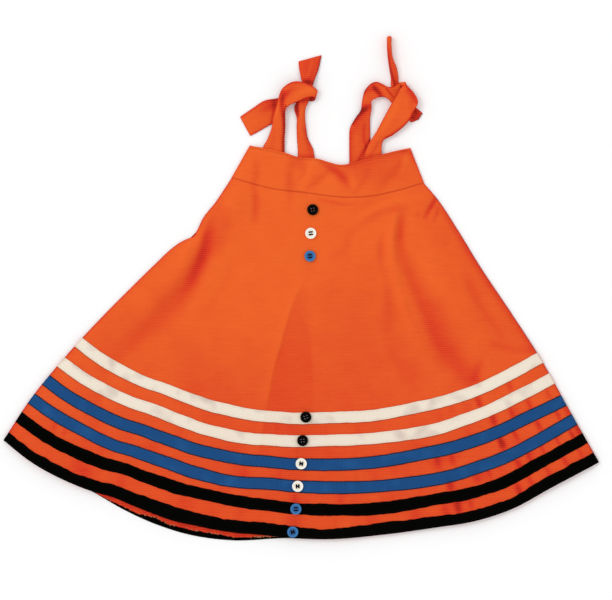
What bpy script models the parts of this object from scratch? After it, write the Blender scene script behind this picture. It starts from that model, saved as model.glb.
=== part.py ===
# Child's summer sarafan, laid flat with its front up, at real size.
# The shoulder straps are tied in two knots, and six tapes run round the skirt near its hem.
# Tables and sizes are in millimetres; the objects are in metres.
# +X is to the right of the garment as it lies, +Y is towards the straps, +Z is up.

import math

import bmesh
import bpy
import numpy as np
from mathutils import Vector
from mathutils.bvhtree import BVHTree

MM = 0.001

# Cloth
PANEL_CLOTH = 1.2
TAPE_CLOTH = 1.0
STRAP_CLOTH = 1.6
GAP = 0.3

# Bodice outline, from the left end of each edge: x, y
NECKLINE = [
    (-66.6, 184.6), (-22.8, 175.9), (-3.9, 169.7), (16.9, 168.2), (54.0, 159.6),
    (81.8, 166.7), (123.5, 177.6), (141.4, 181.5),
]
WAIST = [
    (-90.5, 142.5), (-35.6, 127.8), (-1.8, 123.8), (63.7, 117.0),
    (93.6, 118.8), (129.5, 126.8), (159.4, 135.7),
]
BODICE_DEPTH = 43.0

# Skirt sides, from the waist down: x, y
LEFT_SIDE = [
    (-90.5, 142.5), (-113.1, 109.2), (-130.0, 85.8), (-139.1, 66.3), (-162.5, 54.6),
    (-213.2, 7.8), (-252.2, -31.2), (-313.3, -97.5), (-348.4, -140.4), (-386.5, -197.6),
]
RIGHT_SIDE = [
    (159.4, 135.7), (175.5, 117.0), (201.5, 78.0), (230.1, 31.2),
    (276.9, -39.0), (305.5, -83.2), (351.0, -163.8), (386.5, -226.2),
]

# Hem of the skirt front, and of the skirt back, which shows below it at the left: x, y
FRONT_HEM = [
    (-386.5, -197.6), (-349.7, -226.2), (-306.8, -249.6), (-252.2, -270.4),
    (-182.4, -295.4), (-117.5, -308.6), (-38.0, -320.6), (37.7, -325.7),
    (107.9, -319.8), (219.7, -304.2), (269.1, -288.6), (327.6, -257.4), (386.5, -226.2),
]
BACK_HEM = [
    (-386.5, -197.6), (-349.0, -222.5), (-306.0, -246.5), (-271.0, -264.5),
    (-228.8, -288.6), (-195.0, -304.2), (-146.9, -319.8), (-87.6, -327.6),
    (-30.0, -325.0), (37.7, -322.5), (107.9, -316.5), (219.7, -301.0),
    (268.0, -285.5), (326.0, -254.5), (386.5, -226.2),
]
BACK_INSET = 0.6
BACK_RAW_EDGE = 4.0
PANEL_SHORT_OF_HEM = 1.0
WIDTH_AT_WAIST = 250.0
WIDTH_AT_HEM = 773.0

# Tapes: name, finish, width, heights of the lower edge above the hem from the left to the right
TAPES = [
    ("tape_cream_upper", "cream", 15.0, (154.6, 147.6, 140.8, 145.8, 149.6, 147.6)),
    ("tape_cream_lower", "cream", 15.0, (120.6, 117.0, 109.5, 115.6, 118.6, 118.0)),
    ("tape_blue_upper", "blue", 14.6, (90.5, 87.0, 81.8, 85.7, 90.4, 86.6)),
    ("tape_blue_lower", "blue", 14.4, (60.5, 57.5, 53.8, 56.2, 56.6, 54.6)),
    ("tape_black", "black", 14.4, (30.5, 32.8, 28.4, 27.8, 28.8, 29.2)),
    ("tape_hem", "black", 13.6, (0.0, 0.0, 0.0, 0.0, 0.0, 0.0)),
]
SKIRT_LENGTH = (458.0, 447.0, 428.0)

# Grid of the skirt front, and of the flat pieces
FRONT_COLUMNS = 36
FRONT_ROWS_ABOVE_TAPES = 11
BACK_COLUMNS = 24
BACK_ROWS_ABOVE_TAPES = 6
BODICE_COLUMNS = 26
BODICE_ROWS = 5
BACK_BODICE_COLUMNS = 12
BACK_BODICE_SIDE_SHARE = 0.012
BACK_BODICE_TOP_SHARE = 0.04

# Air between the layers of the skirt
LOFT = 2.4
LEAST_RISE_SOFTNESS = 0.5
SIDE_SOFTNESS = 9.0
FOLD_LINE_STEPS = 12

# Folds of the front: start, middle and end of the line, half widths and heights at start and end
FOLDS = [
    ("ridge left of the side fold", (-140, 64), (-158, 24), (-200, -26), (8, 14), (5.0, 3.0)),
    ("side fold, left", (-122, 78), (-135, 27), (-205, -50), (7, 16), (-4.5, -2.0)),
    ("ridge right of the side fold", (-84, 118), (-108, 50), (-150, -50), (13, 24), (3.5, 2.0)),
    ("dip below the waist seam", (-57, 132), (-57, 112), (-58, 88), (8, 12), (-2.4, -1.0)),
    ("notch crease, right", (174, 114), (168, 102), (160, 90), (6, 9), (-2.2, -1.0)),
    ("ridge left of the right fold", (124, 98), (111, 60), (116, 20), (9, 13), (4.0, 2.5)),
    ("side fold, right", (136, 88), (130, 40), (165, -56), (12, 16), (-3.5, -1.5)),
    ("ridge right of the right fold", (168, 72), (170, 30), (196, -40), (13, 20), (3.0, 2.0)),
    ("faint fold, right", (222, 8), (227, -10), (233, -30), (8, 10), (-1.6, -1.0)),
    ("hollow in the middle", (0, 60), (-2, 5), (-4, -60), (34, 44), (-1.6, -1.0)),
    ("wave at the hem, far left", (-300, -150), (-308, -190), (-322, -232), (26, 34), (0.8, 1.3)),
    ("wave at the hem, left", (-130, -120), (-150, -210), (-162, -296), (34, 46), (0.6, 1.3)),
    ("wave at the hem, middle", (20, -150), (34, -240), (44, -320), (30, 36), (0.6, 1.2)),
    ("wave at the hem, right", (170, -130), (196, -220), (214, -300), (30, 34), (0.8, 1.3)),
    ("wave at the hem, far right", (280, -110), (312, -180), (338, -246), (22, 28), (0.8, 1.2)),
    ("bodice dip", (34, 158), (48, 144), (62, 132), (7, 8), (-0.5, -1.8)),
    ("bodice ridge", (18, 160), (8, 143), (-2, 126), (8, 9), (1.2, 1.2)),
    ("bodice over the right straps", (92, 182), (92, 168), (92, 150), (24, 22), (3.0, 2.4)),
]

# Straps: left x, left y, right x, right y, height of the middle of the cloth, crown
STRAPS = {
    "strap_front_left": [
        (-50, 169, -22, 164, 2.3, 0), (-50, 180, -22, 176, 2.8, 0),
        (-43, 194, -22, 193, 4.0, 1), (-38, 208, -21, 208, 5.5, 2),
        (-36, 221, -21, 221, 7.0, 2), (-32, 234, -21, 229, 8.5, 1),
        (-25, 257, -16, 237, 10.0, 0), (-10, 267, -5, 242, 10.5, 1),
        (11, 263, 10, 248, 10.4, 0), (19, 258, 16, 248, 9.0, 0),
        (21, 255, 18, 245, 6.0, 0), (17, 254, 15, 243, 3.2, 0),
        (5, 263, 4, 246, 1.7, 0), (-7, 262, -9, 244.5, 1.3, 0),
        (-18, 254, -21, 233.5, 1.3, 0),
        (-29, 246.5, -34, 216.5, 1.3, 0), (-47, 243, -43, 211, 1.3, 0),
        (-63, 233, -55, 204, 1.3, 1), (-79, 222, -66, 198, 1.1, 0),
    ],
    "strap_back_left": [
        (-4, 156, 18, 153, 2.3, 0), (-4, 169, 17, 167, 2.3, 0),
        (-4, 180, 15, 180, 2.0, 2), (-5, 193, 9, 193, 1.6, 5),
        (-5.5, 208, 6, 208, 2.4, 6), (-5.5, 221, 4.5, 221, 3.6, 4),
        (-8.5, 232, 5, 232, 4.6, 2),
        (-5, 244, 10, 244, 5.0, 1), (-1, 255, 13, 255, 5.4, 1),
        (2, 264, 15, 264, 5.4, 1), (0, 273, 18, 273, 4.2, 3),
        (-2, 284, 22, 284, 2.4, 3), (-3, 294, 26, 302, 1.1, 0),
    ],
    "strap_back_right": [
        (62, 151, 89, 156, 2.3, 0), (63, 163, 90, 169, 2.3, 0),
        (63, 180, 90, 182, 1.8, 0), (63, 195, 89, 195, 1.6, 1),
        (64, 208, 89, 208, 2.0, 2), (71, 221, 89, 221, 3.4, 2),
        (78, 232, 91, 234, 5.2, 1), (80, 245, 91, 243, 6.4, 0),
        (83, 256, 96, 246, 7.0, 0), (90, 264, 101, 248, 7.4, 0),
        (98, 267, 108, 248, 7.4, 0), (106, 264, 113, 245, 6.8, 0),
        (112, 257, 118, 240, 5.6, 0), (119, 253, 125, 235, 4.4, 0),
        (130, 248, 132, 229, 3.2, 0), (140, 242, 138, 222, 2.2, 0),
        (148, 235, 143, 216, 1.5, 0), (157, 227, 152, 219, 1.1, 0),
    ],
    "strap_front_right": [
        (80, 156, 104, 161, 4.2, 0), (81, 167, 104, 172, 4.3, 0),
        (85, 180, 104, 182, 5.0, 1), (90, 190, 106, 191, 5.6, 3),
        (97, 201, 118, 198, 6.2, 3), (104, 214, 131, 208, 7.2, 1),
        (111, 227, 140, 218, 8.4, 0), (117, 238, 146, 230, 9.4, 0),
        (123, 248, 151, 242, 10.0, 0), (127, 257, 145, 254, 9.8, 0),
        (129, 264, 136, 264, 8.6, 0), (127, 266, 135, 267, 6.8, 0),
        (124, 263, 131, 263, 5.2, 0), (119, 259, 128, 259, 4.4, 0),
        (118, 257, 127, 257, 3.2, 0), (118, 259, 127, 259, 1.9, 0),
        (117, 264, 126, 264, 1.3, 1), (117, 271, 126, 271, 1.1, 6),
        (115, 284, 124, 285, 1.1, 9), (113, 298, 119, 298, 1.1, 10),
        (112, 312, 117, 312, 1.1, 10), (112, 326, 117, 326, 1.1, 9),
    ],
}
STRAP_CELLS_ACROSS = 4
STRAP_STEP = 9.0

# Buttons: x, y and finish, from the top
BUTTONS = [
    (15.2, 101.5, "black"), (12.7, 70.9, "white"), (11.7, 41.3, "blue"),
    (6.2, -167.6, "black"), (2.1, -198.0, "black"), (0.3, -228.0, "white"),
    (-4.3, -257.3, "white"), (-6.6, -286.8, "blue"), (-10.7, -316.6, "blue"),
]
BUTTON_RADIUS = 7.5
BUTTON_HEIGHT = 2.6
BUTTON_DISH_RADIUS = 5.2
BUTTON_DISH_DEPTH = 0.7
BUTTON_SIDES = 16
BUTTON_HOLE_RADIUS = 0.95
BUTTON_HOLE_SPACING = 2.8

# Finishes: linear colour and roughness
FINISHES = {
    "orange": ((0.82, 0.107, 0.022), 0.9),
    "cream": ((0.81, 0.70, 0.58), 0.9),
    "blue": ((0.013, 0.065, 0.20), 0.9),
    "black": ((0.004, 0.004, 0.004), 0.9),
    "button_black": ((0.006, 0.006, 0.006), 0.3),
    "button_white": ((0.86, 0.85, 0.82), 0.3),
    "button_blue": ((0.02, 0.16, 0.45), 0.3),
}


def clear_scene():
    """Take every object out of the scene."""
    for item in list(bpy.data.objects):
        bpy.data.objects.remove(item, do_unlink=True)


def make_material(name, finish):
    """Give a piece a material of its own in one of the finishes."""
    colour, roughness = FINISHES[finish]
    material = bpy.data.materials.new(name)
    material.use_nodes = True
    shader = material.node_tree.nodes["Principled BSDF"]
    shader.inputs["Base Color"].default_value = (*colour, 1.0)
    shader.inputs["Roughness"].default_value = roughness
    shader.inputs["Metallic"].default_value = 0.0
    return material


def place(name, mesh, location, finish, parent):
    """Put a mesh in the scene as a named object under the garment's empty."""
    mesh.materials.clear()
    mesh.materials.append(make_material(name + "_finish", finish))
    piece = bpy.data.objects.new(name, mesh)
    piece.location = location
    piece.parent = parent
    bpy.context.scene.collection.objects.link(piece)
    return piece


def smooth_curve(stations, places, knots):
    """Read a smooth curve through the stations at places measured along its knots."""
    stations = np.asarray(stations, float)
    step = np.diff(knots)[:, None]
    slope = np.diff(stations, axis=0) / step
    inner = (slope[:-1] * step[1:] + slope[1:] * step[:-1]) / (step[:-1] + step[1:])
    tangent = np.vstack([slope[:1], inner, slope[-1:]])
    span = np.clip(np.searchsorted(knots, places, side="right") - 1, 0, len(step) - 1)
    length = step[span]
    t = ((places - knots[span])[:, None]) / length
    start, end = stations[span], stations[span + 1]
    return (
        (2 * t**3 - 3 * t**2 + 1) * start
        + (t**3 - 2 * t**2 + t) * length * tangent[span]
        + (3 * t**2 - 2 * t**3) * end
        + (t**3 - t**2) * length * tangent[span + 1]
    )


def running_length(points):
    """Distance along a row of points, from its start."""
    steps = np.linalg.norm(np.diff(points, axis=0), axis=1)
    return np.concatenate([[0.0], np.cumsum(steps)])


def along_edge(stations, share):
    """Points at shares from 0 to 1 of the length of a smooth edge."""
    knots = running_length(np.asarray(stations, float))
    dense = smooth_curve(stations, np.linspace(0, knots[-1], 400), knots)
    length = running_length(dense)
    wanted = np.asarray(share) * length[-1]
    return np.stack([np.interp(wanted, length, dense[:, axis]) for axis in (0, 1)], axis=-1)


def panel_points(top, bottom, left, right, across, down):
    """Plan points of a panel bounded by four edges, at shares across and down."""
    a, d = across[..., None], down[..., None]
    between_edges = (1 - d) * along_edge(top, across) + d * along_edge(bottom, across)
    between_sides = (1 - a) * along_edge(left, down) + a * along_edge(right, down)
    corners = (
        (1 - a) * (1 - d) * np.array(top[0])
        + a * (1 - d) * np.array(top[-1])
        + (1 - a) * d * np.array(bottom[0])
        + a * d * np.array(bottom[-1])
    )
    return between_edges + between_sides - corners


def blend_across(left, middle, right, across):
    """Curve a size from the left side through the middle to the right side."""
    return (
        left * (1 - across) * (1 - 2 * across)
        + middle * 4 * across * (1 - across)
        + right * across * (2 * across - 1)
    )


def above_hem(across, height):
    """Share down the skirt at a height above the hem."""
    return 1.0 - height / blend_across(*SKIRT_LENGTH, across)


def tape_edges(tape, across):
    """Shares down the skirt of a tape's upper and lower edge."""
    _, _, width, heights = tape
    places = np.linspace(0, 1, len(heights))
    lower = smooth_curve(np.array(heights)[:, None], across, places)[:, 0]
    return above_hem(across, lower + width), above_hem(across, lower)


def skirt_levels(across, rows_above, with_tape_edges):
    """Shares down the skirt for each row of a panel, from the waist to the last tape."""
    first = tape_edges(TAPES[0], across)[0]
    waist = 0.5 * GAP / SKIRT_LENGTH[1]
    levels = [waist + (first - waist) * row / rows_above for row in range(rows_above)]
    if with_tape_edges:
        for tape in TAPES:
            levels.extend(tape_edges(tape, across))
    else:
        middle = tape_edges(TAPES[2], across)[1]
        levels.extend([first, middle, above_hem(across, 0.0)])
    return levels


def fold_height(x, y, fold):
    """Height that one fold adds at plan points."""
    _, start, middle, end, widths, heights = fold
    share = np.linspace(0, 1, FOLD_LINE_STEPS + 1)[:, None]
    bend = 2 * np.array(middle, float) - 0.5 * (np.array(start, float) + np.array(end, float))
    line = (1 - share) ** 2 * start + 2 * share * (1 - share) * bend + share**2 * end
    distance = np.hypot(x[..., None] - line[:, 0], y[..., None] - line[:, 1])
    nearest = distance.argmin(axis=-1)
    share = nearest / FOLD_LINE_STEPS
    width = widths[0] + (widths[1] - widths[0]) * share
    height = heights[0] + (heights[1] - heights[0]) * share
    return height * np.exp(-((distance.min(axis=-1) / width) ** 2))


def rise_of_front(plan, from_side):
    """Air under the front at plan points that lie some way in from the side seams."""
    x, y = plan[..., 0], plan[..., 1]
    rise = LOFT + sum(fold_height(x, y, fold) for fold in FOLDS)
    rise = 0.5 * (rise + np.sqrt(rise**2 + LEAST_RISE_SOFTNESS))
    return rise * (1 - np.exp(-((from_side / SIDE_SOFTNESS) ** 2)))


def distance_from_side(plan, across):
    """Distance in from the nearer side seam, measured along each row."""
    width = np.linalg.norm(plan[:, -1] - plan[:, 0], axis=-1)[:, None]
    return np.minimum(across, 1 - across) * width


def with_height(plan, height):
    """Plan points lifted to a height."""
    return np.concatenate([plan, np.broadcast_to(height, plan.shape[:2])[..., None]], axis=-1)


def raised(grid, height):
    """The same points, moved up."""
    return grid + np.array([0.0, 0.0, height])


def make_wall(name, lower, upper, finish, parent):
    """Close the space between two grids of points into one sheet of cloth."""
    rows, columns = lower.shape[:2]
    centre = 0.5 * (lower.reshape(-1, 3).min(axis=0) + lower.reshape(-1, 3).max(axis=0))
    sheet = bmesh.new()
    top = [[sheet.verts.new((point - centre) * MM) for point in row] for row in upper]
    bottom = [[sheet.verts.new((point - centre) * MM) for point in row] for row in lower]
    for r in range(rows - 1):
        for c in range(columns - 1):
            a, b, d, e = (r, c), (r + 1, c), (r + 1, c + 1), (r, c + 1)
            for one, two, three in ((a, b, d), (a, d, e)):
                sheet.faces.new([top[i][j] for i, j in (one, two, three)])
                sheet.faces.new([bottom[i][j] for i, j in (three, two, one)])
    rim = [(r, 0) for r in range(rows)]
    rim += [(rows - 1, c) for c in range(1, columns)]
    rim += [(r, columns - 1) for r in range(rows - 2, -1, -1)]
    rim += [(0, c) for c in range(columns - 2, 0, -1)]
    for here, there in zip(rim, rim[1:] + rim[:1]):
        a, b = top[here[0]][here[1]], top[there[0]][there[1]]
        c, d = bottom[here[0]][here[1]], bottom[there[0]][there[1]]
        sheet.faces.new((a, c, d))
        sheet.faces.new((a, d, b))
    mesh = bpy.data.meshes.new(name)
    sheet.to_mesh(mesh)
    sheet.free()
    mesh.shade_smooth()
    mesh.set_sharp_from_angle(angle=math.radians(40))
    return place(name, mesh, Vector(centre) * MM, finish, parent)


def back_underside(down, first_tape, row_above):
    """Height of the back panel's underside, which steps up onto the tapes below it."""
    step = np.clip((down - row_above) / (first_tape - row_above), 0, 1)
    return (TAPE_CLOTH + GAP) * step


def build_skirt_back(parent):
    """Back of the skirt, face down, with its six tapes under it."""
    across = np.linspace(0, 1, BACK_COLUMNS + 1)
    levels = skirt_levels(across, BACK_ROWS_ABOVE_TAPES, False)
    levels[-1] = above_hem(across, BACK_RAW_EDGE)
    down = np.array([np.broadcast_to(level, across.shape) for level in levels])
    grid_across = np.broadcast_to(across, down.shape)
    inset = BACK_INSET / (WIDTH_AT_WAIST + (WIDTH_AT_HEM - WIDTH_AT_WAIST) * down)
    inner = inset + (1 - 2 * inset) * grid_across
    plan = panel_points(WAIST, BACK_HEM, LEFT_SIDE, RIGHT_SIDE, inner, down)
    height = back_underside(down, levels[-3], levels[-4])
    underside = with_height(plan, height)
    make_wall("skirt_back", underside, raised(underside, PANEL_CLOTH), "orange", parent)
    for tape in TAPES:
        down = np.array(tape_edges(tape, across))
        inner = np.broadcast_to(inset[-1][0] + (1 - 2 * inset[-1][0]) * across, down.shape)
        plan = panel_points(WAIST, BACK_HEM, LEFT_SIDE, RIGHT_SIDE, inner, down)
        lower = with_height(plan, 0.0)
        make_wall("back_" + tape[0], lower, raised(lower, TAPE_CLOTH), tape[1], parent)


def build_skirt_front(parent):
    """Front of the skirt over the back, with its folds and six tapes; gives what shows on top."""
    across = np.linspace(0, 1, FRONT_COLUMNS + 1)
    levels = skirt_levels(across, FRONT_ROWS_ABOVE_TAPES, True)
    ends = levels[:-1] + [above_hem(across, PANEL_SHORT_OF_HEM)]
    down = np.array([np.broadcast_to(level, across.shape) for level in ends])
    grid_across = np.broadcast_to(across, down.shape)
    plan = panel_points(WAIST, FRONT_HEM, LEFT_SIDE, RIGHT_SIDE, grid_across, down)
    back_rows = skirt_levels(across, BACK_ROWS_ABOVE_TAPES, False)
    height = back_underside(down, back_rows[-3], back_rows[-4]) + PANEL_CLOTH + GAP
    height = height + rise_of_front(plan, distance_from_side(plan, grid_across))
    underside = with_height(plan, height)
    upper = raised(underside, PANEL_CLOTH)
    tops = [make_wall("skirt_front", underside, upper, "orange", parent)]
    first_row = FRONT_ROWS_ABOVE_TAPES
    for index, tape in enumerate(TAPES):
        rows = upper[first_row + 2 * index : first_row + 2 * index + 2].copy()
        if tape is TAPES[-1]:
            rows[1, :, :2] = along_edge(FRONT_HEM, across)
        lower = raised(rows, GAP)
        tops.append(make_wall("front_" + tape[0], lower, raised(lower, TAPE_CLOTH), tape[1], parent))
    return tops


def build_bodice(parent):
    """Back and front of the bodice, with room for the ends of the straps between them."""
    left, right = [NECKLINE[0], WAIST[0]], [NECKLINE[-1], WAIST[-1]]
    lowest = 1.0 - 0.5 * GAP / BODICE_DEPTH
    shares = np.linspace(BACK_BODICE_SIDE_SHARE, 1 - BACK_BODICE_SIDE_SHARE, BACK_BODICE_COLUMNS + 1)
    levels = np.array([BACK_BODICE_TOP_SHARE, 0.5, lowest])
    back = np.meshgrid(shares, levels)
    lower = with_height(panel_points(NECKLINE, WAIST, left, right, *back), 0.0)
    make_wall("bodice_back", lower, raised(lower, PANEL_CLOTH), "orange", parent)
    across, down = np.meshgrid(
        np.linspace(0, 1, BODICE_COLUMNS + 1), np.linspace(0, lowest, BODICE_ROWS + 1)
    )
    plan = panel_points(NECKLINE, WAIST, left, right, across, down)
    height = PANEL_CLOTH + GAP + rise_of_front(plan, distance_from_side(plan, across))
    lower = with_height(plan, height)
    make_wall("bodice_front", lower, raised(lower, PANEL_CLOTH), "orange", parent)


def build_strap(name, table, parent):
    """A strap swept through its stations, with its thickness square to its face."""
    stations = np.array(table, float)
    middle = np.column_stack([stations[:, [0, 2]].mean(axis=1), stations[:, [1, 3]].mean(axis=1)])
    knots = running_length(np.column_stack([middle, stations[:, 4]]))
    spans = np.diff(knots)
    places = [knots[0]]
    for start, span in zip(knots, spans):
        pieces = max(1, round(span / STRAP_STEP))
        places.extend(start + span * (k + 1) / pieces for k in range(pieces))
    rows = smooth_curve(stations, np.array(places), knots)
    share = np.linspace(0, 1, STRAP_CELLS_ACROSS + 1)[None, :]
    x = rows[:, 0:1] * (1 - share) + rows[:, 2:3] * share
    y = rows[:, 1:2] * (1 - share) + rows[:, 3:4] * share
    z = rows[:, 4:5] + rows[:, 5:6] * 4 * share * (1 - share)
    cloth = np.stack([x, y, z], axis=-1)
    normal = np.cross(np.gradient(cloth, axis=1), np.gradient(cloth, axis=0))
    normal = normal / np.linalg.norm(normal, axis=-1, keepdims=True)
    half = 0.5 * STRAP_CLOTH
    lower, upper = cloth - half * normal, cloth + half * normal
    return make_wall(name, lower[::-1], upper[::-1], "orange", parent)


def button_mesh():
    """A four-hole button with a raised rim, standing on its underside."""
    profile = [
        (BUTTON_RADIUS - 0.5, 0.0), (BUTTON_RADIUS, 1.0), (BUTTON_RADIUS - 0.6, BUTTON_HEIGHT),
        (BUTTON_DISH_RADIUS, BUTTON_HEIGHT - BUTTON_DISH_DEPTH),
    ]
    shape = bmesh.new()
    rings = []
    for radius, height in profile:
        turns = [2 * math.pi * k / BUTTON_SIDES for k in range(BUTTON_SIDES)]
        ring = [(radius * math.cos(t) * MM, radius * math.sin(t) * MM, height * MM) for t in turns]
        rings.append([shape.verts.new(point) for point in ring])
    for lower, upper in zip(rings, rings[1:]):
        for k in range(BUTTON_SIDES):
            n = (k + 1) % BUTTON_SIDES
            shape.faces.new((lower[k], lower[n], upper[n], upper[k]))
    shape.faces.new(rings[0][::-1])
    shape.faces.new(rings[-1])
    blank = bpy.data.meshes.new("button_blank")
    shape.to_mesh(blank)
    shape.free()
    body = bpy.data.objects.new("button_blank", blank)
    bpy.context.scene.collection.objects.link(body)
    cutter = hole_cutter()
    cut = body.modifiers.new("holes", "BOOLEAN")
    cut.operation = "DIFFERENCE"
    cut.solver = "EXACT"
    cut.object = cutter
    evaluated = body.evaluated_get(bpy.context.evaluated_depsgraph_get())
    mesh = bpy.data.meshes.new_from_object(evaluated)
    mesh.name = "button"
    bpy.data.objects.remove(body, do_unlink=True)
    bpy.data.objects.remove(cutter, do_unlink=True)
    return mesh


def hole_cutter():
    """Four upright prisms, one for each hole of a button."""
    shape = bmesh.new()
    for x in (-0.5, 0.5):
        for y in (-0.5, 0.5):
            made = bmesh.ops.create_cone(
                shape, cap_ends=True, segments=6, radius1=BUTTON_HOLE_RADIUS * MM,
                radius2=BUTTON_HOLE_RADIUS * MM, depth=3 * BUTTON_HEIGHT * MM,
            )
            middle = Vector((x, y, 0)) * BUTTON_HOLE_SPACING * MM
            bmesh.ops.translate(shape, verts=made["verts"], vec=middle)
    mesh = bpy.data.meshes.new("button_holes")
    shape.to_mesh(mesh)
    shape.free()
    cutter = bpy.data.objects.new("button_holes", mesh)
    cutter.hide_render = True
    cutter.display_type = "WIRE"
    bpy.context.scene.collection.objects.link(cutter)
    return cutter


def surface_height(trees, x, y):
    """Height of the topmost cloth at a plan point, in metres."""
    start = Vector((x * MM, y * MM, 0.1))
    hits = [tree.ray_cast(start, Vector((0, 0, -1)))[0] for tree in trees]
    return max([hit.z for hit in hits if hit is not None], default=0.0)


def build_buttons(tops, parent):
    """Nine buttons down the front, each resting on the cloth or tape under it."""
    bpy.context.view_layer.update()
    trees = []
    for piece in tops:
        points = [piece.matrix_world @ vertex.co for vertex in piece.data.vertices]
        faces = [tuple(face.vertices) for face in piece.data.polygons]
        trees.append(BVHTree.FromPolygons(points, faces))
    mesh = button_mesh()
    for number, (x, y, finish) in enumerate(BUTTONS, start=1):
        turns = [2 * math.pi * k / 16 for k in range(16)]
        rim = [(x + BUTTON_RADIUS * math.cos(t), y + BUTTON_RADIUS * math.sin(t)) for t in turns]
        seat = max(surface_height(trees, *point) for point in rim + [(x, y)])
        name = f"button_{number}"
        place(name, mesh.copy(), Vector((x * MM, y * MM, seat + GAP * MM)), "button_" + finish, parent)
    bpy.data.meshes.remove(mesh)


def centre_garment(parent):
    """Bring the middle of the garment's length and width over the origin."""
    bpy.context.view_layer.update()
    points = [
        piece.matrix_world @ vertex.co for piece in parent.children for vertex in piece.data.vertices
    ]
    low = [min(point[axis] for point in points) for axis in (0, 1)]
    high = [max(point[axis] for point in points) for axis in (0, 1)]
    parent.location = (-0.5 * (low[0] + high[0]), -0.5 * (low[1] + high[1]), 0.0)


def main():
    clear_scene()
    garment = bpy.data.objects.new("sarafan", None)
    bpy.context.scene.collection.objects.link(garment)
    build_skirt_back(garment)
    tops = build_skirt_front(garment)
    build_bodice(garment)
    for name, table in STRAPS.items():
        build_strap(name, table, garment)
    build_buttons(tops, garment)
    centre_garment(garment)


main()
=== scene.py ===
"""Child's summer sarafan laid flat with its front up: cloth, tapes, straps, buttons and sewing.

Tables are in millimetres on the garment's own plan: +X to the right, +Y towards the straps.
Objects are in metres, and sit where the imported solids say.
"""

import logging
import math
from dataclasses import dataclass, field
from enum import Enum
from itertools import product

import bpy
import numpy as np
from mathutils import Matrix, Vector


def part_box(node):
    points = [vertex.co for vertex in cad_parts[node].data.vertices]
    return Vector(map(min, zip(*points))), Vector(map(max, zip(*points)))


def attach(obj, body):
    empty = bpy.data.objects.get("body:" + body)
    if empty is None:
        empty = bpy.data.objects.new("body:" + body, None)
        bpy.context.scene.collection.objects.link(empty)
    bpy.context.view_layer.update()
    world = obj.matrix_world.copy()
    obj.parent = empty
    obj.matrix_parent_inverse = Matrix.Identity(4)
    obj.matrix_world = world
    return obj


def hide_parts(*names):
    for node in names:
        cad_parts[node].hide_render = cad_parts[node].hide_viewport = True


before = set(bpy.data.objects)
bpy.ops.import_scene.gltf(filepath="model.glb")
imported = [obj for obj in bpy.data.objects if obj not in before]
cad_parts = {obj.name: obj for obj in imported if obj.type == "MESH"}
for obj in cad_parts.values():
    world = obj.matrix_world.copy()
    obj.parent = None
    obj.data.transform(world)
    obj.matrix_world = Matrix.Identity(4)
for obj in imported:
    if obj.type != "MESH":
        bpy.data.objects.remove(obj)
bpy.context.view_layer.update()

LOG = logging.getLogger("sarafan")
MM = 0.001
BODY = "root"

# Cloth layers, as the solids have them
PANEL_CLOTH = 1.2
TAPE_CLOTH = 1.0
GAP = 0.3
LOFT = 2.4
LEAST_RISE_SOFTNESS = 0.5
SIDE_SOFTNESS = 9.0

# Bodice outline, from the left end of each edge: x, y
NECKLINE = (
    (-66.6, 184.6), (-22.8, 175.9), (-3.9, 169.7), (16.9, 168.2), (54, 159.6), (81.8, 166.7), (123.5, 177.6),
    (141.4, 181.5),
)
WAIST = (
    (-90.5, 142.5), (-35.6, 127.8), (-1.8, 123.8), (63.7, 117), (93.6, 118.8), (129.5, 126.8), (159.4, 135.7),
)
BODICE_DEPTH = 43.0

# Skirt sides, from the waist down: x, y
LEFT_SIDE = (
    (-90.5, 142.5), (-112, 110.2), (-127.5, 90.5), (-134.5, 76), (-140, 67), (-150, 62.8), (-158.5, 58.2),
    (-167.5, 51.6), (-186.6, 33.8), (-213.2, 7.8), (-252.2, -31.2), (-313.3, -97.5), (-348.4, -140.4),
    (-386.5, -197.6),
)
RIGHT_SIDE = (
    (159.4, 135.7), (175.5, 117), (201.5, 78), (230.1, 31.2), (276.9, -39), (305.5, -83.2), (351, -163.8),
    (386.5, -226.2),
)

# Hem of the front, and of the back, which shows below it at the left: x, y
FRONT_HEM = (
    (-386.5, -197.6), (-349.7, -226.2), (-306.8, -249.6), (-266.2, -265.4), (-246.4, -270.8),
    (-218.4, -282.3), (-194.4, -291.8), (-164.3, -302.4), (-140, -307.6), (-114.4, -313), (-84.2, -317.6),
    (-54.3, -320), (-21.3, -323.7), (37.7, -325.7), (107.9, -319.8), (180.7, -309.8), (219.7, -303.6),
    (269.1, -288.6), (327.6, -257.4), (386.5, -226.2),
)
BACK_HEM = (
    (-386.5, -197.6), (-349, -222.5), (-306, -246.5), (-271, -264.5), (-228.8, -288.6), (-195, -304.2),
    (-146.9, -319.8), (-87.6, -327.6), (-30, -325), (37.7, -322.5), (107.9, -316.5), (219.7, -301),
    (268, -285.5), (326, -254.5), (386.5, -226.2),
)
HEM_WIDTH = 773.0
SKIRT_LENGTH = (458.0, 447.0, 428.0)
# Raw edge of the back above its hem, where it shows: x, height
RAW_EDGE = (
    (-300, 4), (-282, 2), (-266, 0.6), (-256, 1), (-244, 2.4), (-231, 3.5), (-218, 3.2), (-204, 5.2),
    (-194, 7.4), (-187, 6.6), (-174, 5.6), (-161, 5.6), (-146, 6), (-131, 6.5), (-119, 6.6), (-104, 6),
    (-93, 4.6), (-80, 3.8), (-65, 4), (-44, 2.9), (-34, 2.4), (-10, 4),
)
PANEL_SHORT_OF_HEM = 1.0
BACK_INSET = 0.0008
BACK_STEP_ROWS = 6


class Slot(Enum):
    """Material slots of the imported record."""

    ORANGE = "orange_cloth"
    CREAM = "cream_tape"
    BLUE = "blue_tape"
    BLACK = "black_tape"
    BLACK_BUTTON = "black_button"
    WHITE_BUTTON = "white_button"
    BLUE_BUTTON = "blue_button"


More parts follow.
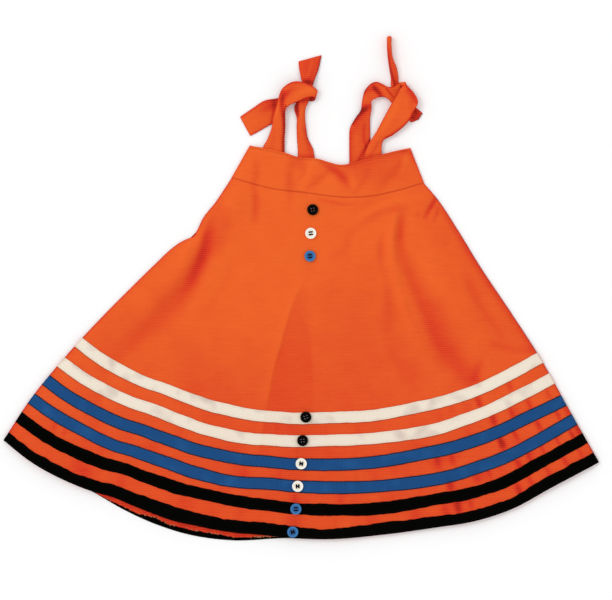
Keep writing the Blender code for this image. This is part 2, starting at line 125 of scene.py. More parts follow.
class Side(Enum):
    """Which face of the garment a piece of cloth belongs to."""

    FRONT = "front"
    BACK = "back"


# ---- plan geometry


def smooth_curve(stations: np.ndarray, places: np.ndarray, knots: np.ndarray) -> np.ndarray:
    """Read a smooth curve through stations.

    Args:
        stations: Rows of values, one for each knot.
        places: Places to read, measured as the knots are.
        knots: Place of each station.

    Returns:
        One row of values for each place.
    """
    stations = np.asarray(stations, float)
    step = np.diff(knots)[:, None]
    slope = np.diff(stations, axis=0) / step
    inner = (slope[:-1] * step[1:] + slope[1:] * step[:-1]) / (step[:-1] + step[1:])
    tangent = np.vstack([slope[:1], inner, slope[-1:]])
    span = np.clip(np.searchsorted(knots, places, side="right") - 1, 0, len(step) - 1)
    length = step[span]
    t = ((places - knots[span])[:, None]) / length
    return (
        (2 * t**3 - 3 * t**2 + 1) * stations[span]
        + (t**3 - 2 * t**2 + t) * length * tangent[span]
        + (3 * t**2 - 2 * t**3) * stations[span + 1]
        + (t**3 - t**2) * length * tangent[span + 1]
    )


def running_length(points: np.ndarray) -> np.ndarray:
    """Distance of each point from the first, along their row."""
    return np.concatenate([[0.0], np.cumsum(np.linalg.norm(np.diff(points, axis=0), axis=1))])


def read_line(places: np.ndarray, knots: np.ndarray, points: np.ndarray) -> np.ndarray:
    """Read points on a line of straight pieces.

    Args:
        places: Places to read, in an array of any shape.
        knots: Place of each point of the line.
        points: The line's points.

    Returns:
        Points, with one more axis than places.
    """
    return np.stack([np.interp(places, knots, column) for column in points.T], axis=-1)


def along_edge(stations: tuple, share: np.ndarray) -> np.ndarray:
    """Read points on a smooth edge.

    Args:
        stations: The edge's own points.
        share: Shares of its length from 0 to 1, in an array of any shape.

    Returns:
        Plan points, with one more axis than share.
    """
    knots = running_length(np.asarray(stations, float))
    dense = smooth_curve(stations, np.linspace(0, knots[-1], 400), knots)
    length = running_length(dense)
    return read_line(np.asarray(share) * length[-1], length, dense)


def panel_points(edges: tuple, across: np.ndarray, down: np.ndarray) -> np.ndarray:
    """Spread a panel between its four edges.

    Args:
        edges: Top, bottom, left and right edge.
        across: Shares across, from the left.
        down: Shares down, from the top.

    Returns:
        Plan points.
    """
    top, bottom, left, right = edges
    a, d = across[..., None], down[..., None]
    between_edges = (1 - d) * along_edge(top, across) + d * along_edge(bottom, across)
    between_sides = (1 - a) * along_edge(left, down) + a * along_edge(right, down)
    corners = (
        (1 - a) * (1 - d) * np.array(top[0]) + a * (1 - d) * np.array(top[-1])
        + (1 - a) * d * np.array(bottom[0]) + a * d * np.array(bottom[-1])
    )
    return between_edges + between_sides - corners


def above_hem(across: np.ndarray, height: np.ndarray) -> np.ndarray:
    """Turn a height above the hem into a share down the skirt.

    Args:
        across: Shares across.
        height: Heights above the hem.

    Returns:
        Shares down.
    """
    left, middle, right = SKIRT_LENGTH
    length = (
        left * (1 - across) * (1 - 2 * across)
        + middle * 4 * across * (1 - across)
        + right * across * (2 * across - 1)
    )
    return 1.0 - height / length


def row_width(points: np.ndarray) -> np.ndarray:
    """Width of each row of a grid of points, as a column."""
    return np.linalg.norm(points[:, -1] - points[:, 0], axis=-1)[:, None]


def smoothstep(value: np.ndarray) -> np.ndarray:
    """Ease a value between 0 and 1."""
    t = np.clip(value, 0, 1)
    return t * t * (3 - 2 * t)


def bell(distance: np.ndarray, width: float | np.ndarray) -> np.ndarray:
    """Fall smoothly from 1 with the distance from a line."""
    return np.exp(-((distance / width) ** 2))


def rise_of(rise: np.ndarray, from_side: np.ndarray) -> np.ndarray:
    """Keep laid cloth above what it lies on, and bring it down to its sides.

    Args:
        rise: Height of the cloth.
        from_side: Distance from the nearer side.

    Returns:
        Height in millimetres, never under 0.
    """
    rise = 0.5 * (rise + np.sqrt(rise**2 + LEAST_RISE_SOFTNESS))
    return rise * (1 - bell(from_side, SIDE_SOFTNESS))


def unit(vectors: np.ndarray) -> np.ndarray:
    """Bring vectors to the length 1."""
    return vectors / np.maximum(np.linalg.norm(vectors, axis=-1, keepdims=True), 1e-9)


# ---- folds


@dataclass(frozen=True)
class Fold:
    """One ridge or crease of laid cloth.

    A path that runs down the garment has its left and right as seen from the front,
    and a path that runs to the right has its lower side as left and its upper side as right.

    Attributes:
        name: What it is.
        stations: Rows of x, y, half width left, half width right, height and shade.
            A row of five has the same half width on both sides.
        reach: On a strap, the first and last station of the strap that it lies on.
    """

    name: str
    stations: tuple
    reach: tuple = (0.0, 99.0)

    def read(self, x: np.ndarray, y: np.ndarray) -> tuple:
        """Read the fold at plan points.

        Args:
            x: Places to the right.
            y: Places towards the straps.

        Returns:
            Height in millimetres and shade, each in the shape of x.
        """
        rows = np.array([row if len(row) == 6 else (*row[:3], *row[2:]) for row in self.stations], float)
        knots = running_length(rows[:, :2])
        dense = smooth_curve(rows, np.linspace(0, knots[-1], 5 * len(rows)), knots)
        nearest, side = np.full(x.shape, np.inf), np.zeros(x.shape)
        values = np.zeros(x.shape + (4,))
        for start, end in zip(dense[:-1], dense[1:]):
            step = end[:2] - start[:2]
            share = ((x - start[0]) * step[0] + (y - start[1]) * step[1]) / (step @ step)
            share = np.clip(share, 0, 1)
            off_x, off_y = x - start[0] - share * step[0], y - start[1] - share * step[1]
            distance = np.hypot(off_x, off_y)
            closer = distance < nearest
            nearest = np.where(closer, distance, nearest)
            side = np.where(closer, step[0] * off_y - step[1] * off_x, side)
            here = start[2:] + share[..., None] * (end[2:] - start[2:])
            values = np.where(closer[..., None], here, values)
        strength = bell(nearest, np.maximum(np.where(side < 0, values[..., 0], values[..., 1]), 0.5))
        return values[..., 2] * strength, values[..., 3] * strength


# The folds that the solids have too, then the finer creases
FRONT_FOLDS = (
    Fold("ridge left of the side fold", ((-140, 64, 8, 3.4, -0.03), (-158, 24, 11, 2.8, -0.03),
        (-200, -26, 14, 2.2, 0))),
    Fold("side fold, left", ((-112, 97, 6, 9, -0.8, 0.12), (-117, 84, 6, 12, -2, 0.38),
        (-121, 73, 6, 13, -2.8, 0.76), (-126.5, 52, 6, 14, -3.2, 1.1), (-132, 34, 8, 11, -3.2, 1.12),
        (-139, 19, 10, 11, -3, 1.02), (-146, 3, 12, 11, -2.8, 0.8), (-155, -9, 15, 12, -2.6, 0.6),
        (-170, -24, 18, 15, -2.4, 0.42), (-189, -41, 12, 18, -2, 0.38), (-205, -55, 13, -1.7, 0.34),
        (-217, -68, 13, -1.5, 0.28), (-232, -81, 12, -1.2, 0.24), (-250, -98, 10, -0.6, 0.1))),
    Fold("ridge right of the side fold", ((-84, 118, 13, 2.6, -0.02), (-108, 50, 18, 2.4, -0.05),
        (-150, -50, 24, 1.8, -0.02))),
    Fold("dip below the waist seam", ((-62, 136, 4, 5, -0.6, 0.15), (-60, 124, 4, 5, -1.2, 0.34),
        (-59, 104, 5, 6, -1.6, 0.46), (-60, 94, 5, 6, -1, 0.38), (-61, 80, 5, -0.4, 0.1))),
    Fold("notch crease, right", ((176, 120, 3, -1.4, 0.5), (172, 112, 3, 3.5, -2, 0.85),
        (166, 102, 3, 3.5, -1.8, 0.8), (161, 93, 3, 4, -1, 0.45))),
    Fold("second notch crease", ((177, 104, 3, 0, 0.2), (176, 96, 3, -0.4, 0.45), (172, 88, 3, 0, 0.2))),
    Fold("small notch crease", ((153, 99, 3, 0, 0.1), (152, 96, 3, -0.2, 0.3), (150, 92, 3, 0, 0.1))),
    Fold("ridge left of the right fold", ((122, 96, 5, 2.4, -0.06), (118, 76, 5, 2.8, -0.1),
        (118, 40, 6, 2.6, -0.05), (128, -3, 6, 2.2, -0.02), (140, -42, 6, 2, 0), (156, -76, 7, 1.6, 0.04),
        (170, -100, 8, 1, -0.05))),
    Fold("side fold, right", ((133, 98, 4, 5, -0.6, 0.2), (130, 88, 4, 6, -1.6, 0.46),
        (128.7, 75, 5, 6, -2.4, 0.58), (128.7, 56, 6, 7, -2.6, 0.48), (132.6, 36, 7, 10, -2.6, 0.4),
        (140, 21, 7, 11, -2.6, 0.43), (146, 4, 8, 14, -2.4, 0.44), (153, -13, 8, 18, -2.2, 0.5),
        (161, -31, 9, 24, -2, 0.58), (168, -48, 10, 24, -1.9, 0.62), (176, -68, 11, 24, -1.7, 0.62),
        (189, -86, 13, 20, -1.5, 0.56), (204, -103, 13, 16, -1.3, 0.44), (220, -120, 12, -1, 0.4))),
    Fold("ridge right of the right fold", ((168, 72, 13, 3, -0.06), (170, 30, 16, 2.6, -0.05),
        (196, -40, 20, 2, 0))),
    Fold("faint fold, right", ((214, 16, 5, 6, -0.6, 0.1), (220, 0, 5, 6, -1, 0.2),
        (233, -22, 5, 7, -1.2, 0.2), (246, -42, 5, 7, -1, 0.16), (259, -62, 5, 6, -0.6, 0.12))),
    Fold("hollow in the middle", ((0, 60, 34, -1.6, 0), (-2, 5, 39, -1.3, 0), (-4, -60, 44, -1, 0))),
    Fold("wave at the hem, far left", ((-300, -150, 26, 0.8, 0), (-308, -190, 30, 1, 0),
        (-322, -232, 34, 1.3, 0))),
    Fold("wave at the hem, left", ((-130, -120, 34, 0.6, 0), (-150, -210, 40, 0.9, 0),
        (-162, -296, 46, 1.3, 0))),
    Fold("wave at the hem, middle", ((20, -150, 30, 0.6, 0), (34, -240, 33, 0.9, 0), (44, -320, 36, 1.2, 0))),
    Fold("wave at the hem, right", ((170, -130, 30, 0.8, 0), (196, -220, 32, 1, 0), (214, -300, 34, 1.3, 0))),
    Fold("wave at the hem, far right", ((280, -110, 22, 0.8, 0), (312, -180, 25, 1, 0),
        (338, -246, 28, 1.2, 0))),
    Fold("bodice dip", ((26, 163, 4, -0.2, 0.25), (39, 155, 5, 6, -0.6, 0.72), (48, 150, 6, -1, 0.7),
        (55, 142, 6, 5, -1.2, 0.62), (62, 131, 4, -0.6, 0.25))),
    Fold("bodice ridge", ((20, 165, 4, 1, -0.18), (10, 147, 4, 1, -0.22), (0, 129, 4, 0.7, -0.14))),
    Fold("bodice over the right straps", ((92, 182, 24, 3, 0), (92, 168, 23, 2.7, 0), (92, 150, 22, 2.4, 0))),
    Fold("branch of the left fold", ((-105, 108, 8, 0, 0.15), (-98, 92, 10, 12, -0.4, 0.28),
        (-100, 76, 10, 12, -0.5, 0.3), (-104, 60, 8, 10, -0.3, 0.22), (-106, 44, 8, 0, 0.08))),
    Fold("faint streak, left", ((-84, 40, 5, -0.2, 0), (-104, 0, 5, -0.2, 0.1), (-124, -34, 6, 0, 0.04))),
    Fold("long crease in the middle, lit side", ((6, 14, 4, 2, 0.2, 0), (-9, -14, 7, 2, 0.6, -0.12),
        (-20, -45, 8, 2, 0.7, -0.14), (-28, -75, 9, 2, 0.8, -0.1), (-35, -100, 9, 2, 0.8, -0.08),
        (-44, -146, 9, 2, 0.6, -0.04))),
    Fold("long crease in the middle, shaded side", ((4, 8, 2, 6, 0, 0.05), (-6, -14, 2, 14, -0.3, 0.22),
        (-17, -45, 2, 24, -0.5, 0.34), (-25, -75, 2, 32, -0.6, 0.36), (-32, -100, 2, 38, -0.6, 0.32),
        (-41, -146, 2, 46, -0.5, 0.26), (-46, -168, 2, 46, -0.3, 0.2))),
    Fold("right edge of the shaded part", ((-8, -28, 3, 2, 0, 0.05), (8, -50, 8, 2, -0.2, 0.1),
        (12, -90, 14, 2, -0.2, 0.14), (14, -150, 16, 2, -0.2, 0.1))),
    Fold("soft crease right of the middle", ((108, 12, 4, 10, 0, 0.08), (113, -10, 7, 8, -0.3, 0.24),
        (114, -32, 8, 9, -0.3, 0.27), (114, -60, 8, 12, -0.3, 0.18), (122, -90, 9, 16, -0.3, 0.18),
        (140, -118, 8, 16, -0.2, 0.14))),
    Fold("broad shade right of the middle", ((66, 50, 40, 60, 0, 0.05), (70, 10, 60, 66, 0, 0.18),
        (72, -60, 62, 66, 0, 0.2), (74, -120, 62, 66, 0, 0.12), (76, -150, 54, 60, 0, 0.05))),
    Fold("broad shade near the right side", ((150, 110, 26, 30, 0, 0.14), (200, 50, 34, 40, 0, 0.24),
        (240, -20, 34, 40, 0, 0.24), (290, -90, 30, 40, 0, 0.12))),
    Fold("broad shade on the left wing", ((-150, 40, 20, 0, 0.06), (-200, -20, 30, 0, 0.14),
        (-262, -80, 30, 0, 0.14))),
    Fold("soft shade above the tapes, left", ((-156, -70, 20, 30, 0, 0.08), (-140, -128, 24, 60, 0, 0.16))),
    Fold("shade along the right side", ((180, 106, 4, 0, 0.2), (198, 78, 4, 0, 0.35),
        (227, 31, 4, 0, 0.35), (254, -10, 4, 0, 0.35), (274, -39, 4, 0, 0.25), (302, -83, 4, 0, 0.15))),
    Fold("shade left of the right ridge", ((105, 70, 4, -0.2, 0.1), (103, 52, 5, -0.5, 0.3),
        (103, 36, 5, -0.4, 0.26), (104, 22, 5, -0.2, 0.1))),
    Fold("soft ridge below the seam, right", ((62, 64, 5, 0.3, -0.02), (78, 88, 5, 0.8, -0.12),
        (98, 104, 5, 0.8, -0.14), (124, 113, 5, 0.8, -0.15), (158, 120, 5, 0.4, -0.08))),
    Fold("hollow under that ridge", ((40, 39, 6, 8, -0.2, 0.12), (57, 52, 6, 7, -0.4, 0.18),
        (64, 69, 5, 6, -0.5, 0.24), (76, 83, 5, 6, -0.5, 0.2), (90, 90, 5, 6, -0.5, 0.26),
        (104, 98, 5, -0.5, 0.27), (118, 102, 5, -0.4, 0.3), (134, 105, 5, -0.2, 0.14))),
    Fold("hollow above that ridge", ((54, 82, 6, 0, 0.04), (74, 104, 6, -0.5, 0.12),
        (112, 116, 4, -0.4, 0.1), (140, 120, 4, 0, 0.04))),
    Fold("shade under the waist seam", ((22, 116, 2, 0, 0.14), (36, 113, 3, 2, -0.3, 0.38),
        (58, 109, 3, 2, -0.3, 0.36), (74, 111, 2, 0, 0.1))),
    Fold("crease over the cream tape, right", ((250, -73, 5, 6, -0.3, 0.2), (272, -79, 6, -0.9, 0.2),
        (298, -81, 5, -0.5, 0.2))),
    Fold("small crease by the right fold", ((238, -88, 4, 0, 0.05), (230, -104, 6, -0.5, 0.32),
        (226, -118, 6, -0.6, 0.35))),
    Fold("bodice, stripe, left", ((-60, 166, 4, 5, 0, 0.1), (-58, 150, 5, -0.4, 0.28),
        (-60, 138, 5, -0.3, 0.25))),
    Fold("bodice, soft upright shade", ((-12, 168, 5, 9, -0.3, 0.25), (-14, 150, 6, -0.6, 0.34),
        (-15, 132, 6, -0.4, 0.38), (-15, 116, 5, -0.2, 0.16), (-15, 100, 4, 0, 0.05))),
    Fold("bodice, shade under the strap's root", ((-2, 166, 8, 6, -0.2, 0.3), (4, 150, 7, 5, -0.2, 0.2),
        (-2, 140, 5, 4, 0, 0.1))),
    Fold("bodice, shade beside the ridge", ((34, 150, 4, -0.3, 0.18), (22, 140, 5, -0.4, 0.32),
        (10, 130, 4, -0.2, 0.2))),
    Fold("bodice, lit patch by the dip", ((40, 138, 9, 0.3, -0.14), (30, 126, 8, 0.2, -0.12))),
    Fold("bodice, lit line right of the dip", ((63, 155, 4, 0.3, -0.12), (67, 140, 4, 0.4, -0.16),
        (68, 130, 4, 0.2, -0.08))),
    Fold("bodice, broad shade, right", ((50, 150, 12, 20, 0, 0.14), (76, 150, 12, 20, 0, 0.34),
        (100, 150, 20, 0, 0.32), (124, 156, 18, 20, 0, 0.28))),
    Fold("bodice, first diagonal, right", ((88, 152, 4, -0.3, 0.12), (80, 138, 4.5, -0.5, 0.24),
        (70, 124, 4, -0.3, 0.18))),
    Fold("bodice, second diagonal, right", ((130, 162, 5, -0.3, 0.25), (122, 150, 6, -0.5, 0.18),
        (108, 136, 5, -0.4, 0.14), (101, 127, 4, 0, 0.1))),
    Fold("bodice, lit line, right", ((137, 172, 3.5, 0.3, -0.2), (133, 160, 4, 0.4, -0.25),
        (128, 148, 4, 0.2, -0.12))),
    Fold("bodice, dark corner and edge, right", ((133, 178, 4, 0, 0.3), (140, 176, 4, 0, 0.45),
        (150, 156, 5, 0, 0.2), (156, 140, 5, 0, 0.15))),
    Fold("bodice, shade along the neckline, right", ((62, 160, 7, 0, 0.35), (84, 165, 8, 0, 0.32),
        (108, 171, 8, 0, 0.35), (130, 176, 7, 0, 0.3))),
    Fold("left fold over the tapes", ((-246, -92, 10, 0, 0.03), (-258, -116, 9, -0.4, 0.1),
        (-268, -164, 9, -0.4, 0.1), (-282, -212, 9, -0.3, 0.12), (-296, -236, 7, -0.3, 0.14),
        (-304, -246, 6, 0, 0.05))),
    Fold("shade between the blue tapes", ((166, -226, 4, 5, -0.2, 0.12), (186, -223, 5, 6, -0.3, 0.22),
        (206, -218, 5, -0.2, 0.18))),
    Fold("soft hollow over the blue tapes, left", ((-92, -190, 9, 0, 0.03), (-84, -232, 10, -0.3, 0.12),
        (-100, -268, 9, -0.2, 0.08))),
)

# Creases of the back, which rests face down: painted shade only, with no height, so that it stays on the
# floor
BACK_FOLDS = (
    Fold("back crease, left", ((-120, 90, 8, 0, 0.1), (-150, 10, 12, 0, 0.3), (-210, -70, 14, 0, 0.15))),
    Fold("back crease, middle", ((20, 60, 14, 6, 0, 0.1), (34, -40, 18, 5, 0, 0.24),
        (40, -130, 20, 5, 0, 0.18))),
    Fold("back crease, right", ((130, 100, 9, 0, 0.12), (160, 0, 13, 9, 0, 0.28),
        (220, -110, 14, 10, 0, 0.2))),
    Fold("back crease, far right", ((230, 10, 6, 9, 0, 0.08), (262, -60, 7, 10, 0, 0.2),
        (300, -140, 6, 8, 0, 0.15))),
)

# Puckers that the sewing draws up between two tapes: x, y, lean in degrees, half width, shade
PUCKERS = (
    (194, -160, 0, 3.2, 0.3), (230, -147, 20, 2.9, 0.75), (270, -125, 15, 2.6, 0.5), (-14, -182, 0, 24, 0.12),
    (250, -172, 20, 3.1, 0.85), (273, -163, 20, 2.3, 0.5), (296, -151, 25, 2.3, 0.55),
    (321, -138, 25, 2.1, 0.4), (25, -213, 0, 26, 0.12), (-196, -208, -10, 10, 0.12), (-73, -239, 0, 5, 0.28),
    (-21, -243, 0, 13, 0.18), (122, -237, 0, 15, 0.15), (177, -225, 10, 3.2, 0.55), (196, -221, 15, 2.6, 0.4),
    (261, -202, 24, 3, 1.05), (278, -191, 24, 2.3, 0.6), (308, -178, 26, 2.4, 0.7), (334, -166, 28, 2, 0.6),
    (345, -161, 28, 1.7, 0.5), (-320, -178, -20, 2.6, 0.3), (-307, -187, -20, 2.6, 0.25),
    (-259, -209, -15, 4, 0.22), (-8, -276, 0, 4, 0.35), (51, -274, 0, 5, 0.28), (194, -256, 15, 3.4, 0.8),
    (228, -246, 20, 4, 0.45), (244, -240, 20, 2.3, 0.4), (282, -228, 25, 2.8, 0.65),
    (296, -220, 25, 2.1, 0.65), (313, -209, 28, 2, 0.45), (333, -199, 30, 1.8, 0.55),
    (351, -190, 30, 1.9, 0.8), (359, -185, 30, 1.6, 0.7), (-281, -237, -25, 8, 0.3),
    (-235, -252, -20, 5, 0.22), (-151, -278, -15, 8, 0.25), (-79, -294, -8, 6, 0.2), (-8, -303, 0, 8, 0.2),
    (90, -303, 5, 5, 0.25), (148, -295, 8, 6, 0.32), (203, -282, 12, 3.6, 1), (220, -279, 15, 2.6, 0.45),
    (282, -261, 22, 2.9, 0.8), (298, -251, 25, 2.6, 0.5), (321, -239, 28, 2.3, 0.45),
    (343, -226, 30, 2.3, 0.45), (363, -215, 32, 2.1, 0.4),
)
PUCKER_REACH = (8.0, 11.5)
PUCKER_SPREAD = 1.45
PUCKER_DEPTH = 0.8
FAINT_PUCKERS = 150


def read_folds(folds: tuple, x: np.ndarray, y: np.ndarray) -> tuple:
    """Add up folds at plan points.

    Args:
        folds: The folds.
        x: Places to the right.
        y: Places towards the straps.

    Returns:
        Summed height and summed shade.
    """
    height, shade = np.zeros(x.shape), np.zeros(x.shape)
    for fold in folds:
        rise, dark = fold.read(x, y)
        height, shade = height + rise, shade + dark
    return height, shade


def read_puckers(x: np.ndarray, y: np.ndarray) -> tuple:
    """Add up the puckers, with a scatter of faint ones that grow towards the right.

    Args:
        x: Places to the right.
        y: Places towards the straps.

    Returns:
        Summed height and summed shade.
    """
    generator = np.random.default_rng(23)
    rows = list(PUCKERS)
    for _ in range(FAINT_PUCKERS):
        place = generator.uniform(-360, 370)
        rise = -325 + 0.00090 * (place - 30) ** 2 + generator.choice([15, 45, 75, 107, 137])
        gain = 0.10 + 0.16 * smoothstep(place / 300)
        width, dark = generator.uniform(1.5, 4.6), generator.uniform(-0.6, 1.0) * gain
        rows.append((place, rise, 0.075 * place, width, dark))
    height, shade = np.zeros(x.shape), np.zeros(x.shape)
    for px, py, lean, width, dark in rows:
        c, s = math.cos(math.radians(lean)), math.sin(math.radians(lean))
        reach, nearer = generator.uniform(*PUCKER_REACH), generator.uniform(-1.6, 1.6)
        across, along = (x - px) * c + (y - py) * s, (y - py) * c - (x - px) * s - nearer
        # Each one bends a little and is wider at one end
        across = across - 0.012 * (generator.uniform(-1, 1) * along) * along
        wide = PUCKER_SPREAD * width * (1 + 0.03 * generator.uniform(-1, 1) * np.clip(along, -9, 9))
        strength = np.exp(-((across / wide) ** 2) - np.abs(along / reach) ** 2.6)
        height, shade = height - PUCKER_DEPTH * dark * strength, shade + dark * strength
    return height, shade


# ---- finishes


def linear(code: str) -> tuple:
    """Turn an sRGB hex colour to linear.

    Args:
        code: Six hex digits.

    Returns:
        Red, green, blue and an alpha of 1.
    """
    parts = [int(code[i : i + 2], 16) / 255 for i in (0, 2, 4)]
    return (*[c / 12.92 if c <= 0.04045 else ((c + 0.055) / 1.055) ** 2.4 for c in parts], 1.0)


def add_node(
    tree: bpy.types.NodeTree, kind: str, settings: dict, links: dict, output: int | str = 0
) -> bpy.types.NodeSocket:
    """Add a shader node.

    Args:
        tree: Where it goes.
        kind: Its Blender type, after "ShaderNode".
        settings: Values of its own attributes, and of its inputs by name or number.
        links: Sockets that feed its inputs, by name or number.
        output: Name or number of the output that is wanted.

    Returns:
        That output.
    """
    node = tree.nodes.new("ShaderNode" + kind)
    for key, value in settings.items():
        if isinstance(key, str) and hasattr(node, key):
            setattr(node, key, value)
        else:
            node.inputs[key].default_value = value
    for key, socket in links.items():
        tree.links.new(socket, node.inputs[key])
    return node.outputs[output]


def wave(tree: bpy.types.NodeTree, along: bpy.types.NodeSocket, pitch: float) -> bpy.types.NodeSocket:
    """Make a sine wave of a coordinate.

    Args:
        tree: Where the nodes go.
        along: The coordinate.
        pitch: Length of one wave, in the coordinate's unit.

    Returns:
        A socket that runs between -1 and 1.
    """
    turn = add_node(tree, "Math", {"operation": "MULTIPLY", 1: 2 * math.pi / pitch}, {0: along})
    return add_node(tree, "Math", {"operation": "SINE"}, {0: turn})


@dataclass(frozen=True)
class Finish:
    """A procedural finish.

    Attributes:
        name: Name of the material.
    """

    name: str

    def start(self, coordinates: str = "Object") -> tuple:
        """Start the material.

        Args:
            coordinates: Which coordinates it reads, Object or UV.

        Returns:
            The material, its tree and the coordinates.
        """
        material = bpy.data.materials.new(self.name)
        material.use_nodes = True
        tree = material.node_tree
        place = add_node(tree, "TexCoord", {}, {}, coordinates)
        return material, tree, place

    def close(
        self, material: bpy.types.Material, colour: bpy.types.NodeSocket | None,
        relief: bpy.types.NodeSocket, strength: float, depth: float, values: dict,
    ) -> bpy.types.Material:
        """Join colour and relief to the shader, and set the rest on it.

        Args:
            material: The material.
            colour: Its colour, or None where that is among the values.
            relief: Its relief.
            strength: How much of the relief shows.
            depth: Depth of the relief, in metres.
            values: Values of the shader's other inputs.

        Returns:
            The material.
        """
        tree = material.node_tree
        shader = tree.nodes["Principled BSDF"]
        if colour:
            tree.links.new(colour, shader.inputs["Base Color"])
        bump = add_node(tree, "Bump", {"Strength": strength, "Distance": depth}, {"Height": relief})
        tree.links.new(bump, shader.inputs["Normal"])
        for key, value in values.items():
            shader.inputs[key].default_value = value
        return material


# Settings that several finishes share; a colour mix gives its colour at output 2
MIX = {"data_type": "RGBA"}
CLAMPED_MIX = {"data_type": "RGBA", "clamp_factor": True}
COLOUR = 2
MULTIPLY = {"operation": "MULTIPLY"}
MULTIPLY_ADD = {"operation": "MULTIPLY_ADD"}


@dataclass(frozen=True)
class WovenCotton(Finish):
    """Plain-woven dyed cotton with a fine rib across it.

    Attributes:
        lit: Colour on the ridges.
        deep: Colour in the folds, where the cloth lights itself and turns redder.
        hidden: Colour of the narrow hollows that little light reaches.
        rib_pitch: Distance between the ribs, in metres.
        thread_pitch: Distance between the threads that show, in metres.
    """

    lit: str = "F16628"
    deep: str = "DA3620"
    hidden: str = "86150F"
    rib_pitch: float = 0.0028
    thread_pitch: float = 0.0009

    def build(self) -> bpy.types.Material:
        """Build the material.

        Returns:
            The material, which reads Object coordinates and the attribute "shade".
        """
        material, tree, place = self.start()
        x, y = (add_node(tree, "SeparateXYZ", {}, {0: place}, axis) for axis in (0, 1))
        shade = add_node(tree, "Attribute", {"attribute_name": "shade"}, {}, "Fac")
        rib = wave(tree, y, self.rib_pitch)
        # Uneven dye and slubs: soft cloudy patches some centimetres wide, and threads drawn out along X
        cloud = add_node(tree, "TexNoise", {"Scale": 38.0, "Detail": 4.0}, {"Vector": place})
        drawn = add_node(tree, "Mapping", {"Scale": (60.0, 560.0, 60.0)}, {"Vector": place})
        slub = add_node(tree, "TexNoise", {"Scale": 1.0, "Detail": 2.0}, {"Vector": drawn})
        mix = shade
        for socket, gain, offset in ((cloud, 0.34, -0.17), (slub, 0.30, -0.15), (rib, 0.025, 0.0)):
            part = add_node(tree, "Math", {**MULTIPLY_ADD, 1: gain, 2: offset}, {0: socket})
            mix = add_node(tree, "Math", {"operation": "ADD"}, {0: mix, 1: part})
        # The ribs show most where the cloth is shaded
        ribbed = add_node(tree, "Math", MULTIPLY, {0: rib, 1: shade})
        mix = add_node(tree, "Math", {**MULTIPLY_ADD, 1: 0.14}, {0: ribbed, 2: mix})
        beyond = add_node(tree, "Math", {"operation": "SUBTRACT", 1: 1.0}, {0: mix})
        lit, deep, hidden = (linear(code) for code in (self.lit, self.deep, self.hidden))
        colour = add_node(tree, "Mix", {**CLAMPED_MIX, 6: lit, 7: deep}, {0: mix}, COLOUR)
        colour = add_node(tree, "Mix", {**CLAMPED_MIX, 7: hidden}, {0: beyond, 6: colour}, COLOUR)
        warp, weft = wave(tree, x, self.thread_pitch), wave(tree, y, self.thread_pitch)
        weave = add_node(tree, "Math", MULTIPLY, {0: warp, 1: weft})
        cloth = add_node(tree, "Math", {**MULTIPLY_ADD, 1: 0.9}, {0: rib, 2: weave})
        rough = add_node(tree, "Math", {**MULTIPLY_ADD, 1: 2.5}, {0: slub, 2: cloth})
        # Unfinished cotton: no gloss, and a little nap that catches light along the folds
        return self.close(material, colour, rough, 0.5, 0.00012, {
            "Roughness": 0.9, "Specular IOR Level": 0.12, "Sheen Weight": 0.04, "Sheen Roughness": 0.5,
            "Sheen Tint": linear("FF8A50"),
        })


@dataclass(frozen=True)
class CottonTape(Finish):
    """Narrow woven cotton tape, ribbed across its width.

    Attributes:
        lit: Colour of the tape.
        deep: Colour of the painted shade in its creases and of the painted shadow at its sewn edges.
        blotch: Colour of faint uneven patches along it.
        blotch_share: How far the patches take that colour.
        rib_share: How strongly its ribs show.
        gloss: Strength of its mirror.
        rib_pitch: Distance between its ribs, in millimetres.
    """

    lit: str
    deep: str
    blotch: str
    blotch_share: float
    rib_share: float = 0.05
    gloss: float = 0.06
    rib_pitch: float = 2.6

    def build(self) -> bpy.types.Material:
        """Build the material.

        Returns:
            The material, which reads the tape's UV map in millimetres and the attribute "shade".
        """
        material, tree, pattern = self.start("UV")
        along, over = (add_node(tree, "SeparateXYZ", {}, {0: pattern}, axis) for axis in (0, 1))
        place = add_node(tree, "TexCoord", {}, {}, "Object")
        shade = add_node(tree, "Attribute", {"attribute_name": "shade"}, {}, "Fac")
        # Real ribs are 0.8 mm apart; they are drawn at 2.6 mm, so that they show at this size
        rib = wave(tree, along, self.rib_pitch)
        # Soft patches about 15 mm apart, of uneven tone
        patch = add_node(tree, "TexNoise", {"Scale": 58.0, "Detail": 0.3}, {"Vector": place})
        limits = {"From Min": 0.52, "From Max": 0.86, "To Max": self.blotch_share}
        patch = add_node(tree, "MapRange", limits, {0: patch})
        colours = {6: linear(self.lit), 7: linear(self.blotch)}
        ground = add_node(tree, "Mix", {**MIX, **colours}, {0: patch}, COLOUR)
        depth = add_node(tree, "Math", {**MULTIPLY_ADD, 1: self.rib_share}, {0: rib, 2: shade})
        colour = add_node(tree, "Mix", {**CLAMPED_MIX, 7: linear(self.deep)}, {0: depth, 6: ground}, COLOUR)
        weave = add_node(tree, "Math", {**MULTIPLY_ADD, 1: 0.4}, {0: wave(tree, over, 1.1), 2: rib})
        # Dense matt cotton, which hardly mirrors the sky
        return self.close(
            material, colour, weave, 0.45, 0.00012, {"Roughness": 0.9, "Specular IOR Level": self.gloss}
        )


